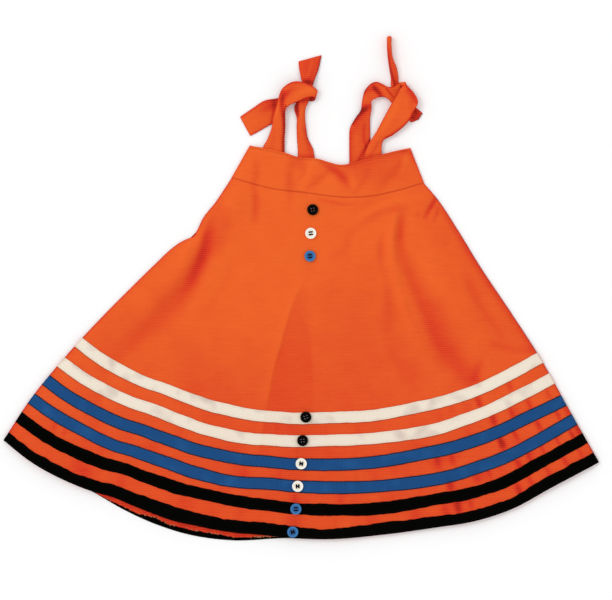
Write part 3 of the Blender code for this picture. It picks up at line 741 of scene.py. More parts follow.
@dataclass(frozen=True)
class MouldedPolyester(Finish):
    """Cast and turned polyester button with a polished face.

    Attributes:
        colour: Body colour.
        streak: Colour of the faint swirls in the casting.
        dish: Colour of the dish, which is in shade.
        gloss: Strength of its mirror.
    """

    colour: str
    streak: str
    dish: str
    gloss: float = 0.3

    def build(self) -> bpy.types.Material:
        """Build the material.

        Returns:
            The material, which reads Object coordinates and the attribute "shade".
        """
        material, tree, place = self.start()
        shade = add_node(tree, "Attribute", {"attribute_name": "shade"}, {}, "Fac")
        # Swirls of a few millimetres, as a cast button has
        turbulence = {"Scale": 260.0, "Detail": 3.0, "Distortion": 1.5}
        swirl = add_node(tree, "TexNoise", turbulence, {"Vector": place})
        colours = {6: linear(self.colour), 7: linear(self.streak)}
        colour = add_node(tree, "Mix", {**MIX, **colours}, {0: swirl}, COLOUR)
        colour = add_node(tree, "Mix", {**CLAMPED_MIX, 7: linear(self.dish)}, {0: shade, 6: colour}, COLOUR)
        values = {"Roughness": 0.3, "IOR": 1.56, "Specular IOR Level": self.gloss}
        return self.close(material, colour, swirl, 0.15, 0.0001, values)


@dataclass(frozen=True)
class SewingThread(Finish):
    """Twisted sewing thread, matt as cotton is.

    Attributes:
        colour: Colour of the ply.
        groove_shade: Colour of the painted shade between the plies.
    """

    colour: str
    groove_shade: str

    def build(self) -> bpy.types.Material:
        """Build the material.

        Returns:
            The material, which reads Object coordinates.
        """
        material, tree, place = self.start()
        # The twist of a sewing thread repeats every half millimetre
        bands = {"wave_type": "BANDS", "bands_direction": "DIAGONAL", "Scale": 330.0}
        ply = add_node(tree, "TexWave", bands, {"Vector": place}, "Fac")
        # Painted shade in the grooves between the plies
        colours = {6: linear(self.groove_shade), 7: linear(self.colour)}
        colour = add_node(tree, "Mix", {**MIX, **colours}, {0: ply}, COLOUR)
        return self.close(material, colour, ply, 0.3, 0.0001, {"Roughness": 0.8, "Specular IOR Level": 0.08})


@dataclass(frozen=True)
class MattBoard(Finish):
    """Pale matt board under the garment.

    Attributes:
        colour: Colour of the board.
    """

    colour: str

    def build(self) -> bpy.types.Material:
        """Build the material.

        Returns:
            The material, which reads Object coordinates.
        """
        material, tree, place = self.start()
        tooth = add_node(tree, "TexNoise", {"Scale": 900.0}, {"Vector": place})
        values = {"Base Color": linear(self.colour), "Roughness": 0.95, "Specular IOR Level": 0.1}
        return self.close(material, None, tooth, 0.05, 0.0001, values)


FINISHES = {
    Slot.ORANGE: WovenCotton("woven_cotton_dyed_orange"),
    Slot.CREAM: CottonTape("woven_tape_cream", "F0E4D2", "C0501C", "CBBAB0", 0.8, 0.012),
    Slot.BLUE: CottonTape("woven_tape_blue", "1D4D84", "101C2C", "2A649E", 0.45, 0.18),
    Slot.BLACK: CottonTape("woven_tape_black", "040403", "010101", "080706", 0.6, 0.05, 0.015),
    Slot.BLACK_BUTTON: MouldedPolyester("moulded_polyester_black", "060505", "0C0A09", "020202", 0.03),
    Slot.WHITE_BUTTON: MouldedPolyester("moulded_polyester_white", "FFFDF4", "F8F4E8", "EDE7D8"),
    Slot.BLUE_BUTTON: MouldedPolyester("moulded_polyester_blue", "3380BC", "2B74AE", "1C5C98"),
    "dark": SewingThread("sewing_thread_dark", "170F1A", "060407"),
    "grey": SewingThread("sewing_thread_grey", "8A828C", "4A4450"),
    "maroon": SewingThread("maroon_thread_and_gap_shade", "962010", "520E08"),
    "rust": SewingThread("rust_thread_and_painted_shadow", "A83E18", "6A220E"),
    "red": SewingThread("sewing_thread_red", "A8241A", "5E120E"),
    "raw": SewingThread("raw_cotton_thread", "E6A878", "B0623C"),
    "cream": SewingThread("sewing_thread_cream", "EFE3D2", "B9A48E"),
    "blue": SewingThread("sewing_thread_blue", "4680B8", "1E4270"),
    "black": SewingThread("sewing_thread_black", "141010", "050404"),
    "board": MattBoard("matt_board_white", "FFFFFF"),
}


@dataclass
class Workroom:
    """What every piece needs: the built finishes, and where the plan lies in the frame.

    Attributes:
        shift: From the plan to the frame, in millimetres.
        finishes: The materials by slot, with the threads and the board by name.
    """

    shift: np.ndarray
    finishes: dict

    def finish_piece(
        self, name: str, mesh: bpy.types.Mesh, finish: Slot | str, slot: Slot, nodes: tuple = ()
    ) -> bpy.types.Object:
        """Make a mesh a finished piece, tie it to the frame and report it.

        Args:
            name: Name of the piece.
            mesh: Its mesh, in its place.
            finish: Which material.
            slot: Its material slot in the record; not used.
            nodes: Solids that it stands for.

        Returns:
            The piece.
        """
        mesh.materials.clear()
        mesh.materials.append(self.finishes[finish])
        piece = bpy.data.objects.new(name, mesh)
        bpy.context.scene.collection.objects.link(piece)
        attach(piece, BODY)
        if nodes:
            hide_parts(*nodes)
        LOG.info("%s: %d faces", name, len(mesh.polygons))
        return piece

    def mesh_of(self, name: str, points: np.ndarray, faces: list) -> bpy.types.Mesh:
        """Make a smooth mesh.

        Args:
            name: Its name.
            points: Its points on the plan.
            faces: Numbers of each face's points.

        Returns:
            The mesh, in metres in the frame.
        """
        mesh = bpy.data.meshes.new(name)
        mesh.from_pydata(((points + self.shift) * MM).tolist(), [], faces)
        mesh.update()
        mesh.shade_smooth()
        return mesh


# ---- cloth shells


@dataclass
class ClothShell:
    """A thin closed sheet of cloth with rounded edges.

    Attributes:
        node: The solid that it stands for.
        top: Grid of points of its upper face, in millimetres on the garment's plan.
        thickness: Thickness of the cloth.
        shade: Shade of each point of the upper face.
        pattern: UV place of each point, in millimetres.
        rim_shade: Shade of the rounded edge.
        under_shade: Shade of the lower face, or None where it is as the upper face.
        under_step: How many rows and columns one face of the lower side spans.
        rim_turns: Turns of the rounded edge, in degrees from level.
    """

    node: str
    top: np.ndarray
    thickness: float
    shade: np.ndarray
    pattern: np.ndarray
    rim_shade: float
    under_shade: float | None = 0.3
    under_step: int = 1
    rim_turns: tuple = (50.0, 0.0, -50.0)

    def normals(self) -> np.ndarray:
        """Direction out of the upper face at each point."""
        return unit(np.cross(np.gradient(self.top, axis=1), -np.gradient(self.top, axis=0)))

    def rim_order(self) -> list:
        """List the points of the edge, once round.

        Returns:
            Row and column of each point.
        """
        rows, columns = self.top.shape[:2]
        rim = [(r, 0) for r in range(rows)] + [(rows - 1, c) for c in range(1, columns)]
        rim += [(r, columns - 1) for r in range(rows - 2, -1, -1)]
        return rim + [(0, c) for c in range(columns - 2, 0, -1)]

    def outward(self, rim: list) -> np.ndarray:
        """Direction out of the sheet at each point of its edge.

        Args:
            rim: Row and column of each point.

        Returns:
            One direction a point.
        """
        last_row, last_column = self.top.shape[0] - 1, self.top.shape[1] - 1
        out = np.zeros((len(rim), 3))
        for number, (r, c) in enumerate(rim):
            if r in (0, last_row):
                out[number] += unit(self.top[r, c] - self.top[min(max(r, 1), last_row - 1), c])
            if c in (0, last_column):
                out[number] += unit(self.top[r, c] - self.top[r, min(max(c, 1), last_column - 1)])
        return unit(out)

    def build(self, room: Workroom) -> bpy.types.Mesh:
        """Build the sheet's mesh.

        Args:
            room: The workroom.

        Returns:
            The mesh.
        """
        out = self.normals()
        half = 0.5 * self.thickness
        middle = self.top - half * out
        rim, step = self.rim_order(), self.under_step
        index = np.array([r * self.top.shape[1] + c for r, c in rim])
        away = self.outward(rim)
        rim_middle, rim_out = middle.reshape(-1, 3)[index], out.reshape(-1, 3)[index]
        rings = [
            rim_middle + half * (math.cos(turn) * away + math.sin(turn) * rim_out)
            for turn in np.radians(self.rim_turns)
        ]
        bottom = (middle - half * out)[::step, ::step]
        points = np.vstack([self.top.reshape(-1, 3), *rings, bottom.reshape(-1, 3)])
        upper = np.arange(self.top.size // 3).reshape(self.top.shape[:2])
        under = upper.size + len(rings) * len(rim)
        lower = under + np.arange(bottom.size // 3).reshape(bottom.shape[:2])
        faces = [self.grid_faces(upper), self.grid_faces(lower)[:, ::-1]]
        loops = [index] + [upper.size + k * len(rim) + np.arange(len(rim)) for k in range(len(rings))]
        for high, low in zip(loops, loops[1:]):
            faces.append(np.stack([high, low, np.roll(low, -1), np.roll(high, -1)], axis=-1))
        last, under_loop = loops[-1], [lower[r // step, c // step] for r, c in rim[::step]]
        closing = []
        for k, here in enumerate(under_loop):
            span = [last[(k * step + i) % len(rim)] for i in range(step, 0, -1)]
            closing.append([last[k * step], here, under_loop[(k + 1) % len(under_loop)], *span])
        mesh = room.mesh_of(self.node + "_cloth", points, np.vstack(faces).tolist() + closing)
        self.dress(mesh, index, len(rings))
        return mesh

    def grid_faces(self, grid: np.ndarray) -> np.ndarray:
        """Four-sided faces of a grid of point numbers."""
        corners = [grid[:-1, :-1], grid[1:, :-1], grid[1:, 1:], grid[:-1, 1:]]
        return np.stack(corners, axis=-1).reshape(-1, 4)

    def dress(self, mesh: bpy.types.Mesh, index: np.ndarray, rings: int) -> None:
        """Give the mesh its shade and its pattern places.

        Args:
            mesh: The sheet's mesh.
            index: Points of the upper face that lie on the edge.
            rings: How many rings the rounded edge has.
        """
        step = self.under_step
        flat, shade = self.pattern.reshape(-1, 2), self.shade.ravel()
        places = np.vstack([flat, *[flat[index]] * rings, self.pattern[::step, ::step].reshape(-1, 2)])
        edge = np.maximum(shade[index], self.rim_shade)
        below = self.shade[::step, ::step].ravel()
        if self.under_shade is not None:
            below = np.full(below.shape, self.under_shade)
        shade = np.concatenate([shade, *[edge] * rings, below])
        mesh.attributes.new("shade", "FLOAT", "POINT").data.foreach_set("value", shade.astype(np.float32))
        corner = np.zeros(len(mesh.loops), np.int32)
        mesh.loops.foreach_get("vertex_index", corner)
        mesh.uv_layers.new(name="pattern").data.foreach_set("uv", places[corner].astype(np.float32).ravel())

    def lay(
        self, room: Workroom, slot: Slot,
    ) -> None:
        """Build the sheet as a finished piece.

        Args:
            room: The workroom.
            slot: Its material slot in the record.
        """
        piece = room.finish_piece(self.node + "_cloth", self.build(room), slot, slot, (self.node,))


# ---- skirt and tapes


@dataclass(frozen=True)
class TapeSize:
    """One tape sewn round the skirt.

    Attributes:
        name: Name of the tape.
        slot: Its finish.
        width: Its width.
        thread: Which thread it is sewn with.
        heights: Height of its lower edge above the hem, at even places from the left.
        wider: How much wider it lies at the same places.
        ragged: How far its edges wander.
        sewn: Darkness of the painted shadow along the upper edge and along the lower edge, and the width of
            that line.
    """

    name: str
    slot: Slot
    width: float
    thread: str
    heights: tuple
    wider: tuple
    ragged: float = 0.35
    sewn: tuple = (0.3, 0.4, 0.4)

    def edges(self, across: np.ndarray) -> tuple:
        """Heights of both edges above the hem.

        Args:
            across: Shares across, in one row.

        Returns:
            Height of the lower edge and of the upper edge, in millimetres.
        """
        places = np.linspace(0, 1, len(self.heights))
        rows = smooth_curve(np.column_stack([self.heights, self.wider]), across, places)
        return rows[:, 0], rows[:, 0] + self.width + rows[:, 1]


TAPES = (
    TapeSize("tape_cream_upper", Slot.CREAM, 14.6, "cream",
        (154.2, 150.9, 146.9, 145.2, 142.4, 142, 145.6, 144, 147, 149.2, 146.9, 148.2),
        (-0.1, 0.5, -0.4, -0.3, 0.1, 0, -0.2, 0.1, 0, 0.1, 0.4, 0.2)),
    TapeSize("tape_cream_lower", Slot.CREAM, 14.6, "cream",
        (119.4, 118.6, 115.8, 114.3, 111.4, 112.3, 116.3, 114.5, 114.4, 118.8, 116.8, 117),
        (0.4, 0.2, 0.2, 0.1, -0.1, 0, -0.2, -0.1, 0.2, 0.3, 0.4, 0.6)),
    TapeSize("tape_blue_upper", Slot.BLUE, 15.2, "blue",
        (88.3, 88.4, 85.2, 85.6, 83.8, 83.9, 85, 83.5, 86.4, 88.7, 86.3, 84.5),
        (0.4, 0, 0.2, 0.2, -0.2, -0.4, -0.1, 0.3, 0.6, 0.5, 0.6, 0.3), sewn=(1, 1, 1.1)),
    TapeSize("tape_blue_lower", Slot.BLUE, 15.2, "blue",
        (57.5, 59.6, 56.1, 57.9, 54.6, 56.4, 56, 53.1, 51.6, 55.8, 53.3, 56.2),
        (0.3, 0.1, -0.2, 0.4, -0.6, -0.5, 0, -0.1, 0.6, 0.4, 0.6, 0.4), sewn=(1, 1, 1.1)),
    TapeSize("tape_black", Slot.BLACK, 14.4, "black",
        (28.8, 30.6, 31.1, 32.7, 32.6, 29.4, 29, 25.5, 27.3, 27.5, 27.5, 29.1),
        (0.4, 0.3, -0.2, 0, -0.8, 0, -0.1, -0.1, 0, 0.2, 0.1, -0.3), ragged=0.8),
    TapeSize("tape_hem", Slot.BLACK, 13.6, "black",
        (0,) * 12,
        (-1.7, -0.6, 0.2, 2.3, 0.9, 1.6, -1.2, 0.5, -0.2, -0.8, 0.1, 0.7), ragged=1.2),
)


@dataclass
class Skirt:
    """Front and back of the skirt.

    Attributes:
        room: The workroom.
        columns: Columns of the front's grid between the seams.
        upper_rows: Rows of the front above the tapes.
        lower_rows: Rows of the front from there to the hem.
        tapes_from: Share of the way down where the tapes start.
        back_columns: Columns of the back's grid between the seams.
        back_rows: Rows of the back's grid.
        cloth: Thickness of the cloth that shows.
        edge_radius: How far in the cloth rolls down at a side seam.
        edge_drop: How far down it rolls.
        base_shade: Shade at the waist and at the hem.
        front_edges: Top, bottom, left and right edge of the front.
        back_edges: The same of the back.
        cut: Width and length of a panel's cut, in metres; not used.
        cut_area: Flat area of the cut, in square metres; not used.
        raw_run: Points of the back's raw edge, once it is built.
    """

    room: Workroom
    columns: int = 365
    upper_rows: int = 94
    lower_rows: int = 105
    tapes_from: float = 0.63
    back_columns: int = 307
    back_rows: int = 85
    cloth: float = 0.9
    edge_radius: float = 2.2
    edge_drop: float = 0.45
    base_shade: tuple = (0.06, 0.56)
    front_edges: tuple = (WAIST, FRONT_HEM, LEFT_SIDE, RIGHT_SIDE)
    back_edges: tuple = (WAIST, BACK_HEM, LEFT_SIDE, RIGHT_SIDE)
    cut: tuple = (0.790, 0.480)
    cut_area: float = 0.232
    raw_run: np.ndarray | None = None

    def shares_across(self, count: int) -> np.ndarray:
        """Shares across a panel, closer together at the side seams.

        Args:
            count: How many columns lie between the seams.

        Returns:
            Shares from 0 to 1.
        """
        close = np.array([0.0, 0.0008, 0.0018, 0.003, 0.005, 0.008])
        return np.concatenate([close, np.linspace(0.0115, 1 - 0.0115, count), 1 - close[::-1]])

    def tape_step(self, across: np.ndarray, down: np.ndarray) -> np.ndarray:
        """Height to which the tapes under the back lift the cloth.

        Args:
            across: Shares across.
            down: Shares down.

        Returns:
            Height in millimetres.
        """
        first = above_hem(across, TAPES[0].edges(across.ravel())[1].reshape(across.shape))
        before = first * (BACK_STEP_ROWS - 1) / BACK_STEP_ROWS
        return (TAPE_CLOTH + GAP) * np.clip((down - before) / (first - before), 0, 1)

    def front_surface(self, across: np.ndarray, down: np.ndarray) -> tuple:
        """Upper face of the front at shares of the panel.

        Args:
            across: Shares across, in a grid whose rows run from side to side.
            down: Shares down.

        Returns:
            Points, and their shade.
        """
        plan = panel_points(self.front_edges, across, down)
        x, y = plan[..., 0], plan[..., 1]
        ends = panel_points(self.front_edges, np.array([[0.0, 1.0]]).repeat(len(down), 0), down[:, [0, -1]])
        from_side = np.minimum(across, 1 - across) * row_width(ends)
        height, shade = read_folds(FRONT_FOLDS, x, y)
        puckered, pucker_shade = read_puckers(x, y)
        inward = np.clip(1 - from_side / self.edge_radius, 0, 1)
        roll = self.edge_drop * (1 - np.sqrt(1 - inward**2))
        rise = rise_of(LOFT + height + puckered, from_side)
        z = self.tape_step(across, down) + 2 * PANEL_CLOTH + GAP + rise - roll
        low, high = self.base_shade
        shade = shade + pucker_shade + low + (high - low) * smoothstep((20 - y) / 260)
        # Painted shade along the side seams, where the cloth rolls down
        shade = shade + 1.0 * bell(from_side, 1.1) + 0.12 * bell(from_side, 8.0)
        return np.dstack([plan, z]), np.clip(shade, -0.3, 1.6)

    def build(self) -> None:
        """Build both panels."""
        self.build_front()
        self.build_back()

    def panel_grid(self, columns: int, rows: np.ndarray, short: np.ndarray | float) -> tuple:
        """Spread a grid from just below the waist seam to just above the hem.

        Args:
            columns: Columns between the side seams.
            rows: Shares of the way down.
            short: How far above the hem it ends, for each column or for all.

        Returns:
            Shares across, shares of the way, and shares down the panel.
        """
        across, share = np.meshgrid(self.shares_across(columns), rows)
        waist = 0.5 * GAP / SKIRT_LENGTH[1]
        return across, share, waist + (above_hem(across, short) - waist) * share

    def build_front(self) -> None:
        """Build the front panel with its folds."""
        upper = np.linspace(0, self.tapes_from, self.upper_rows, endpoint=False)
        rows = np.concatenate([upper, np.linspace(self.tapes_from, 1, self.lower_rows)])
        across, _, down = self.panel_grid(self.columns, rows, PANEL_SHORT_OF_HEM)
        top, shade = self.front_surface(across, down)
        shell = ClothShell("skirt_front", top, self.cloth, shade, top[..., :2], 1.25, under_step=2)
        shell.lay(self.room, Slot.ORANGE)

    def build_back(self) -> None:
        """Build the back panel, face down, with its frayed raw edge inside the hem."""
        generator = np.random.default_rng(11)
        line = self.shares_across(self.back_columns)
        raw = np.interp(along_edge(BACK_HEM, line)[:, 0], *zip(*RAW_EDGE))
        wander = np.interp(line, np.linspace(0, 1, 300), generator.uniform(-1, 1, 300))
        raw = raw + np.minimum(0.18 * raw, 0.8) * wander
        rows = np.linspace(0, 1, self.back_rows) ** 0.8
        across, share, down = self.panel_grid(self.back_columns, rows, raw[None, :])
        inner = BACK_INSET + (1 - 2 * BACK_INSET) * across
        plan = panel_points(self.back_edges, inner, down)
        shade = np.clip(read_folds(BACK_FOLDS, plan[..., 0], plan[..., 1])[1] + 0.35, 0, 1.2)
        top = np.dstack([plan, self.tape_step(inner, down) + PANEL_CLOTH])
        # Painted shade: some over all the back, which lies under the front, and more near the raw edge under
        # the front's hem, uneven along it, crimson and brown by turns
        painted_hem_shade = np.random.default_rng(12).uniform(0.3, 1.1, 140)
        painted_hem_shade = np.interp(across, np.linspace(0, 1, 140), painted_hem_shade) * smoothstep((share - 0.93) / 0.04)
        shade = shade + 0.18 + 0.55 * painted_hem_shade
        self.raw_run = top[-1]
        shell = ClothShell("skirt_back", top, self.cloth, shade, top[..., :2], 1.3, 0.25, under_step=2)
        shell.lay(self.room, Slot.ORANGE)


@dataclass
class SkirtTapes:
    """The twelve tapes, six on the front and six on the back.

    Attributes:
        room: The workroom.
        skirt: The skirt that they lie on.
        columns: Columns along a front tape.
        shares: Rows across a tape, close together at its edges.
        cloth: Thickness of the tape that shows.
        lift: How far its lower face is off the panel.
        edge_runs: Points of each sewn line, and of the line of thread and painted shadow below the lower
            edge, by tape.
    """

    room: Workroom
    skirt: Skirt
    columns: int = 420
    shares: tuple = (0.0, 0.03, 0.06, 0.12, 0.3, 0.5, 0.7, 0.88, 0.94, 0.97, 1.0)
    cloth: float = 0.75
    lift: float = 0.12
    edge_runs: dict = field(default_factory=dict)

    def wander(self, seed: int, size: float, across: np.ndarray) -> np.ndarray:
        """Uneven line of a tape's edge.

        Args:
            seed: Seed of the draw.
            size: How far it wanders.
            across: Shares across.

        Returns:
            Offsets in millimetres.
        """
        generator = np.random.default_rng(seed)
        line = np.zeros(across.shape)
        for count, weight in ((9, 0.4), (27, 0.5), (70, 0.5), (170, 0.35)):
            values = generator.uniform(-1, 1, (count, 1))
            line += weight * smooth_curve(values, across, np.linspace(0, 1, count))[:, 0]
        return size * line

    def build_tape(self, tape: TapeSize, side: Side, number: int) -> None:
        """Build one tape on one side of the skirt.

        Args:
            tape: Its sizes.
            side: Front or back.
            number: Its place from the top.
        """
        front = side is Side.FRONT
        line = self.skirt.shares_across(self.columns if front else self.columns // 2)
        lower, upper = tape.edges(line)
        upper = upper + self.wander(40 + number, tape.ragged, line)
        if tape.name != "tape_hem":
            lower = lower + self.wander(60 + number, tape.ragged, line)
        across, share = np.meshgrid(line, self.shares)
        down = above_hem(across, upper * (1 - share) + lower * share)
        # Painted shadow along both edges of the tape, as dark as sewn gives it
        above, below, wide = tape.sewn
        painted_edge_shadow = np.where(share < 0.5, above, below) * bell(np.minimum(share, 1 - share) * tape.width, wide)
        if front:
            top, shade = self.skirt.front_surface(across, down)
            top[..., 2] += self.lift + self.cloth
            shade = 0.2 * np.clip(shade - 0.35, 0, 1) + painted_edge_shadow
            thickness = self.cloth
        else:
            thickness = TAPE_CLOTH + 0.1
            plan = panel_points(self.skirt.back_edges, BACK_INSET + (1 - 2 * BACK_INSET) * across, down)
            top = np.dstack([plan, np.full(plan.shape[:2], thickness)])
            shade = 0.1 + painted_edge_shadow
        pattern = np.dstack([across * HEM_WIDTH, tape.width * share])
        node = f"{side.value}_{tape.name}"
        shell = ClothShell(node, top, thickness, shade, pattern, 0.95, under_shade=0.1)
        shell.lay(self.room, tape.slot)
        if front:
            self.edge_runs[tape.name] = self.sewn_lines(top)

    def sewn_lines(self, top: np.ndarray) -> list:
        """Lines of sewing near both edges of a tape.

        Args:
            top: Upper face of the tape.

        Returns:
            Two rows of points on the tape, and one on the cloth just below its lower edge, for a line of
            thread and painted shadow.
        """
        across = unit(top[-1] - top[0])
        beside = top[-1] + 0.6 * across - [0, 0, self.cloth + self.lift - 0.1]
        return [top[0] + 1.8 * across, top[-1] - 1.8 * across, beside]

    def build(self) -> None:
        """Build every tape."""
        for side, (number, tape) in product(Side, enumerate(TAPES)):
            self.build_tape(tape, side, number)


# ---- bodice


@dataclass
class Bodice:
    """Front and back of the bodice band.

    Attributes:
        room: The workroom.
        columns: Columns of the front.
        rows: Rows of the front.
        cloth: Thickness of the cloth that shows.
        edges: Top, bottom, left and right edge.
        cut: Width and length of a band's cut, in metres; not used.
        cut_area: Flat area of the cut, in square metres; not used.
        seam_runs: Lines of sewing along the waist seam and the neckline, once it is built.
    """

    room: Workroom
    columns: int = 150
    rows: int = 40
    cloth: float = 0.9
    edges: tuple = (NECKLINE, WAIST, (NECKLINE[0], WAIST[0]), (NECKLINE[-1], WAIST[-1]))
    cut: tuple = (0.262, 0.066)
    cut_area: float = 0.0101
    seam_runs: list = field(default_factory=list)

    def front_surface(self, across: np.ndarray, down: np.ndarray) -> tuple:
        """Upper face of the front.

        Args:
            across: Shares across.
            down: Shares down.

        Returns:
            Points, and their shade.
        """
        plan = panel_points(self.edges, across, down)
        x, y = plan[..., 0], plan[..., 1]
        from_side = np.minimum(across, 1 - across) * row_width(plan)
        from_top, from_seam = down * BODICE_DEPTH, (1 - down) * BODICE_DEPTH
        height, shade = read_folds(FRONT_FOLDS, x, y)
        z = 2 * PANEL_CLOTH + GAP + rise_of(LOFT + height, from_side)
        z = z - 0.5 * bell(from_top, 1.6) - 0.5 * bell(from_seam, 1.2)
        # Painted shade where the cloth rolls down at its sides and along the neckline
        shade = shade + 0.06 + 0.45 * bell(from_side, 1.4) + 0.22 * bell(from_top, 1.2)
        strong = 0.24 + 0.3 * bell(x - 104, 30) * (0.7 + 0.3 * np.sin(2 * np.pi * x / 6.5))
        shade = shade + strong * bell(from_seam, 1.0)
        return np.dstack([plan, z]), np.clip(shade, -0.3, 1.2)

    def build(self) -> None:
        """Build both bands."""
        lowest = 1.0 - 0.5 * GAP / BODICE_DEPTH
        close = np.array([0.0, 0.003, 0.007, 0.013, 0.02])
        shares = np.concatenate([close, np.linspace(0.028, 0.972, self.columns), 1 - close[::-1]])
        inner = np.linspace(0.045, 0.955, self.rows)
        downs = np.concatenate([[0.0, 0.012, 0.026], inner, [0.975, 0.988, 1.0]])
        top, shade = self.front_surface(*np.meshgrid(shares, downs * lowest))
        shell = ClothShell("bodice_front", top, self.cloth, shade, top[..., :2], 0.6)
        shell.lay(self.room, Slot.ORANGE)
        near = 2.2 / BODICE_DEPTH
        for place in (near, lowest - 0.5 * near):
            line, _ = self.front_surface(shares[None, :].repeat(2, 0), np.full((2, len(shares)), place))
            self.seam_runs.append(line[0] + [0, 0, 0.05])
        across, down = np.meshgrid(np.linspace(0.006, 0.994, 80), np.linspace(0.02, lowest, 14))
        top = np.dstack([panel_points(self.edges, across, down), np.full(across.shape, PANEL_CLOTH)])
        shade = np.full(across.shape, 0.35)
        shell = ClothShell("bodice_back", top, self.cloth + 0.3, shade, top[..., :2], 0.7)
        shell.lay(self.room, Slot.ORANGE)


# ---- straps


@dataclass(frozen=True)
class StrapSize:
    """One shoulder strap.

    Attributes:
        base_shade: Shade of its plain cloth.
        stations: Rows of left x, left y, right x, right y, height of the middle of the cloth and crown.
        creases: Its creases and shades.
    """

    base_shade: float
    stations: tuple
    creases: tuple


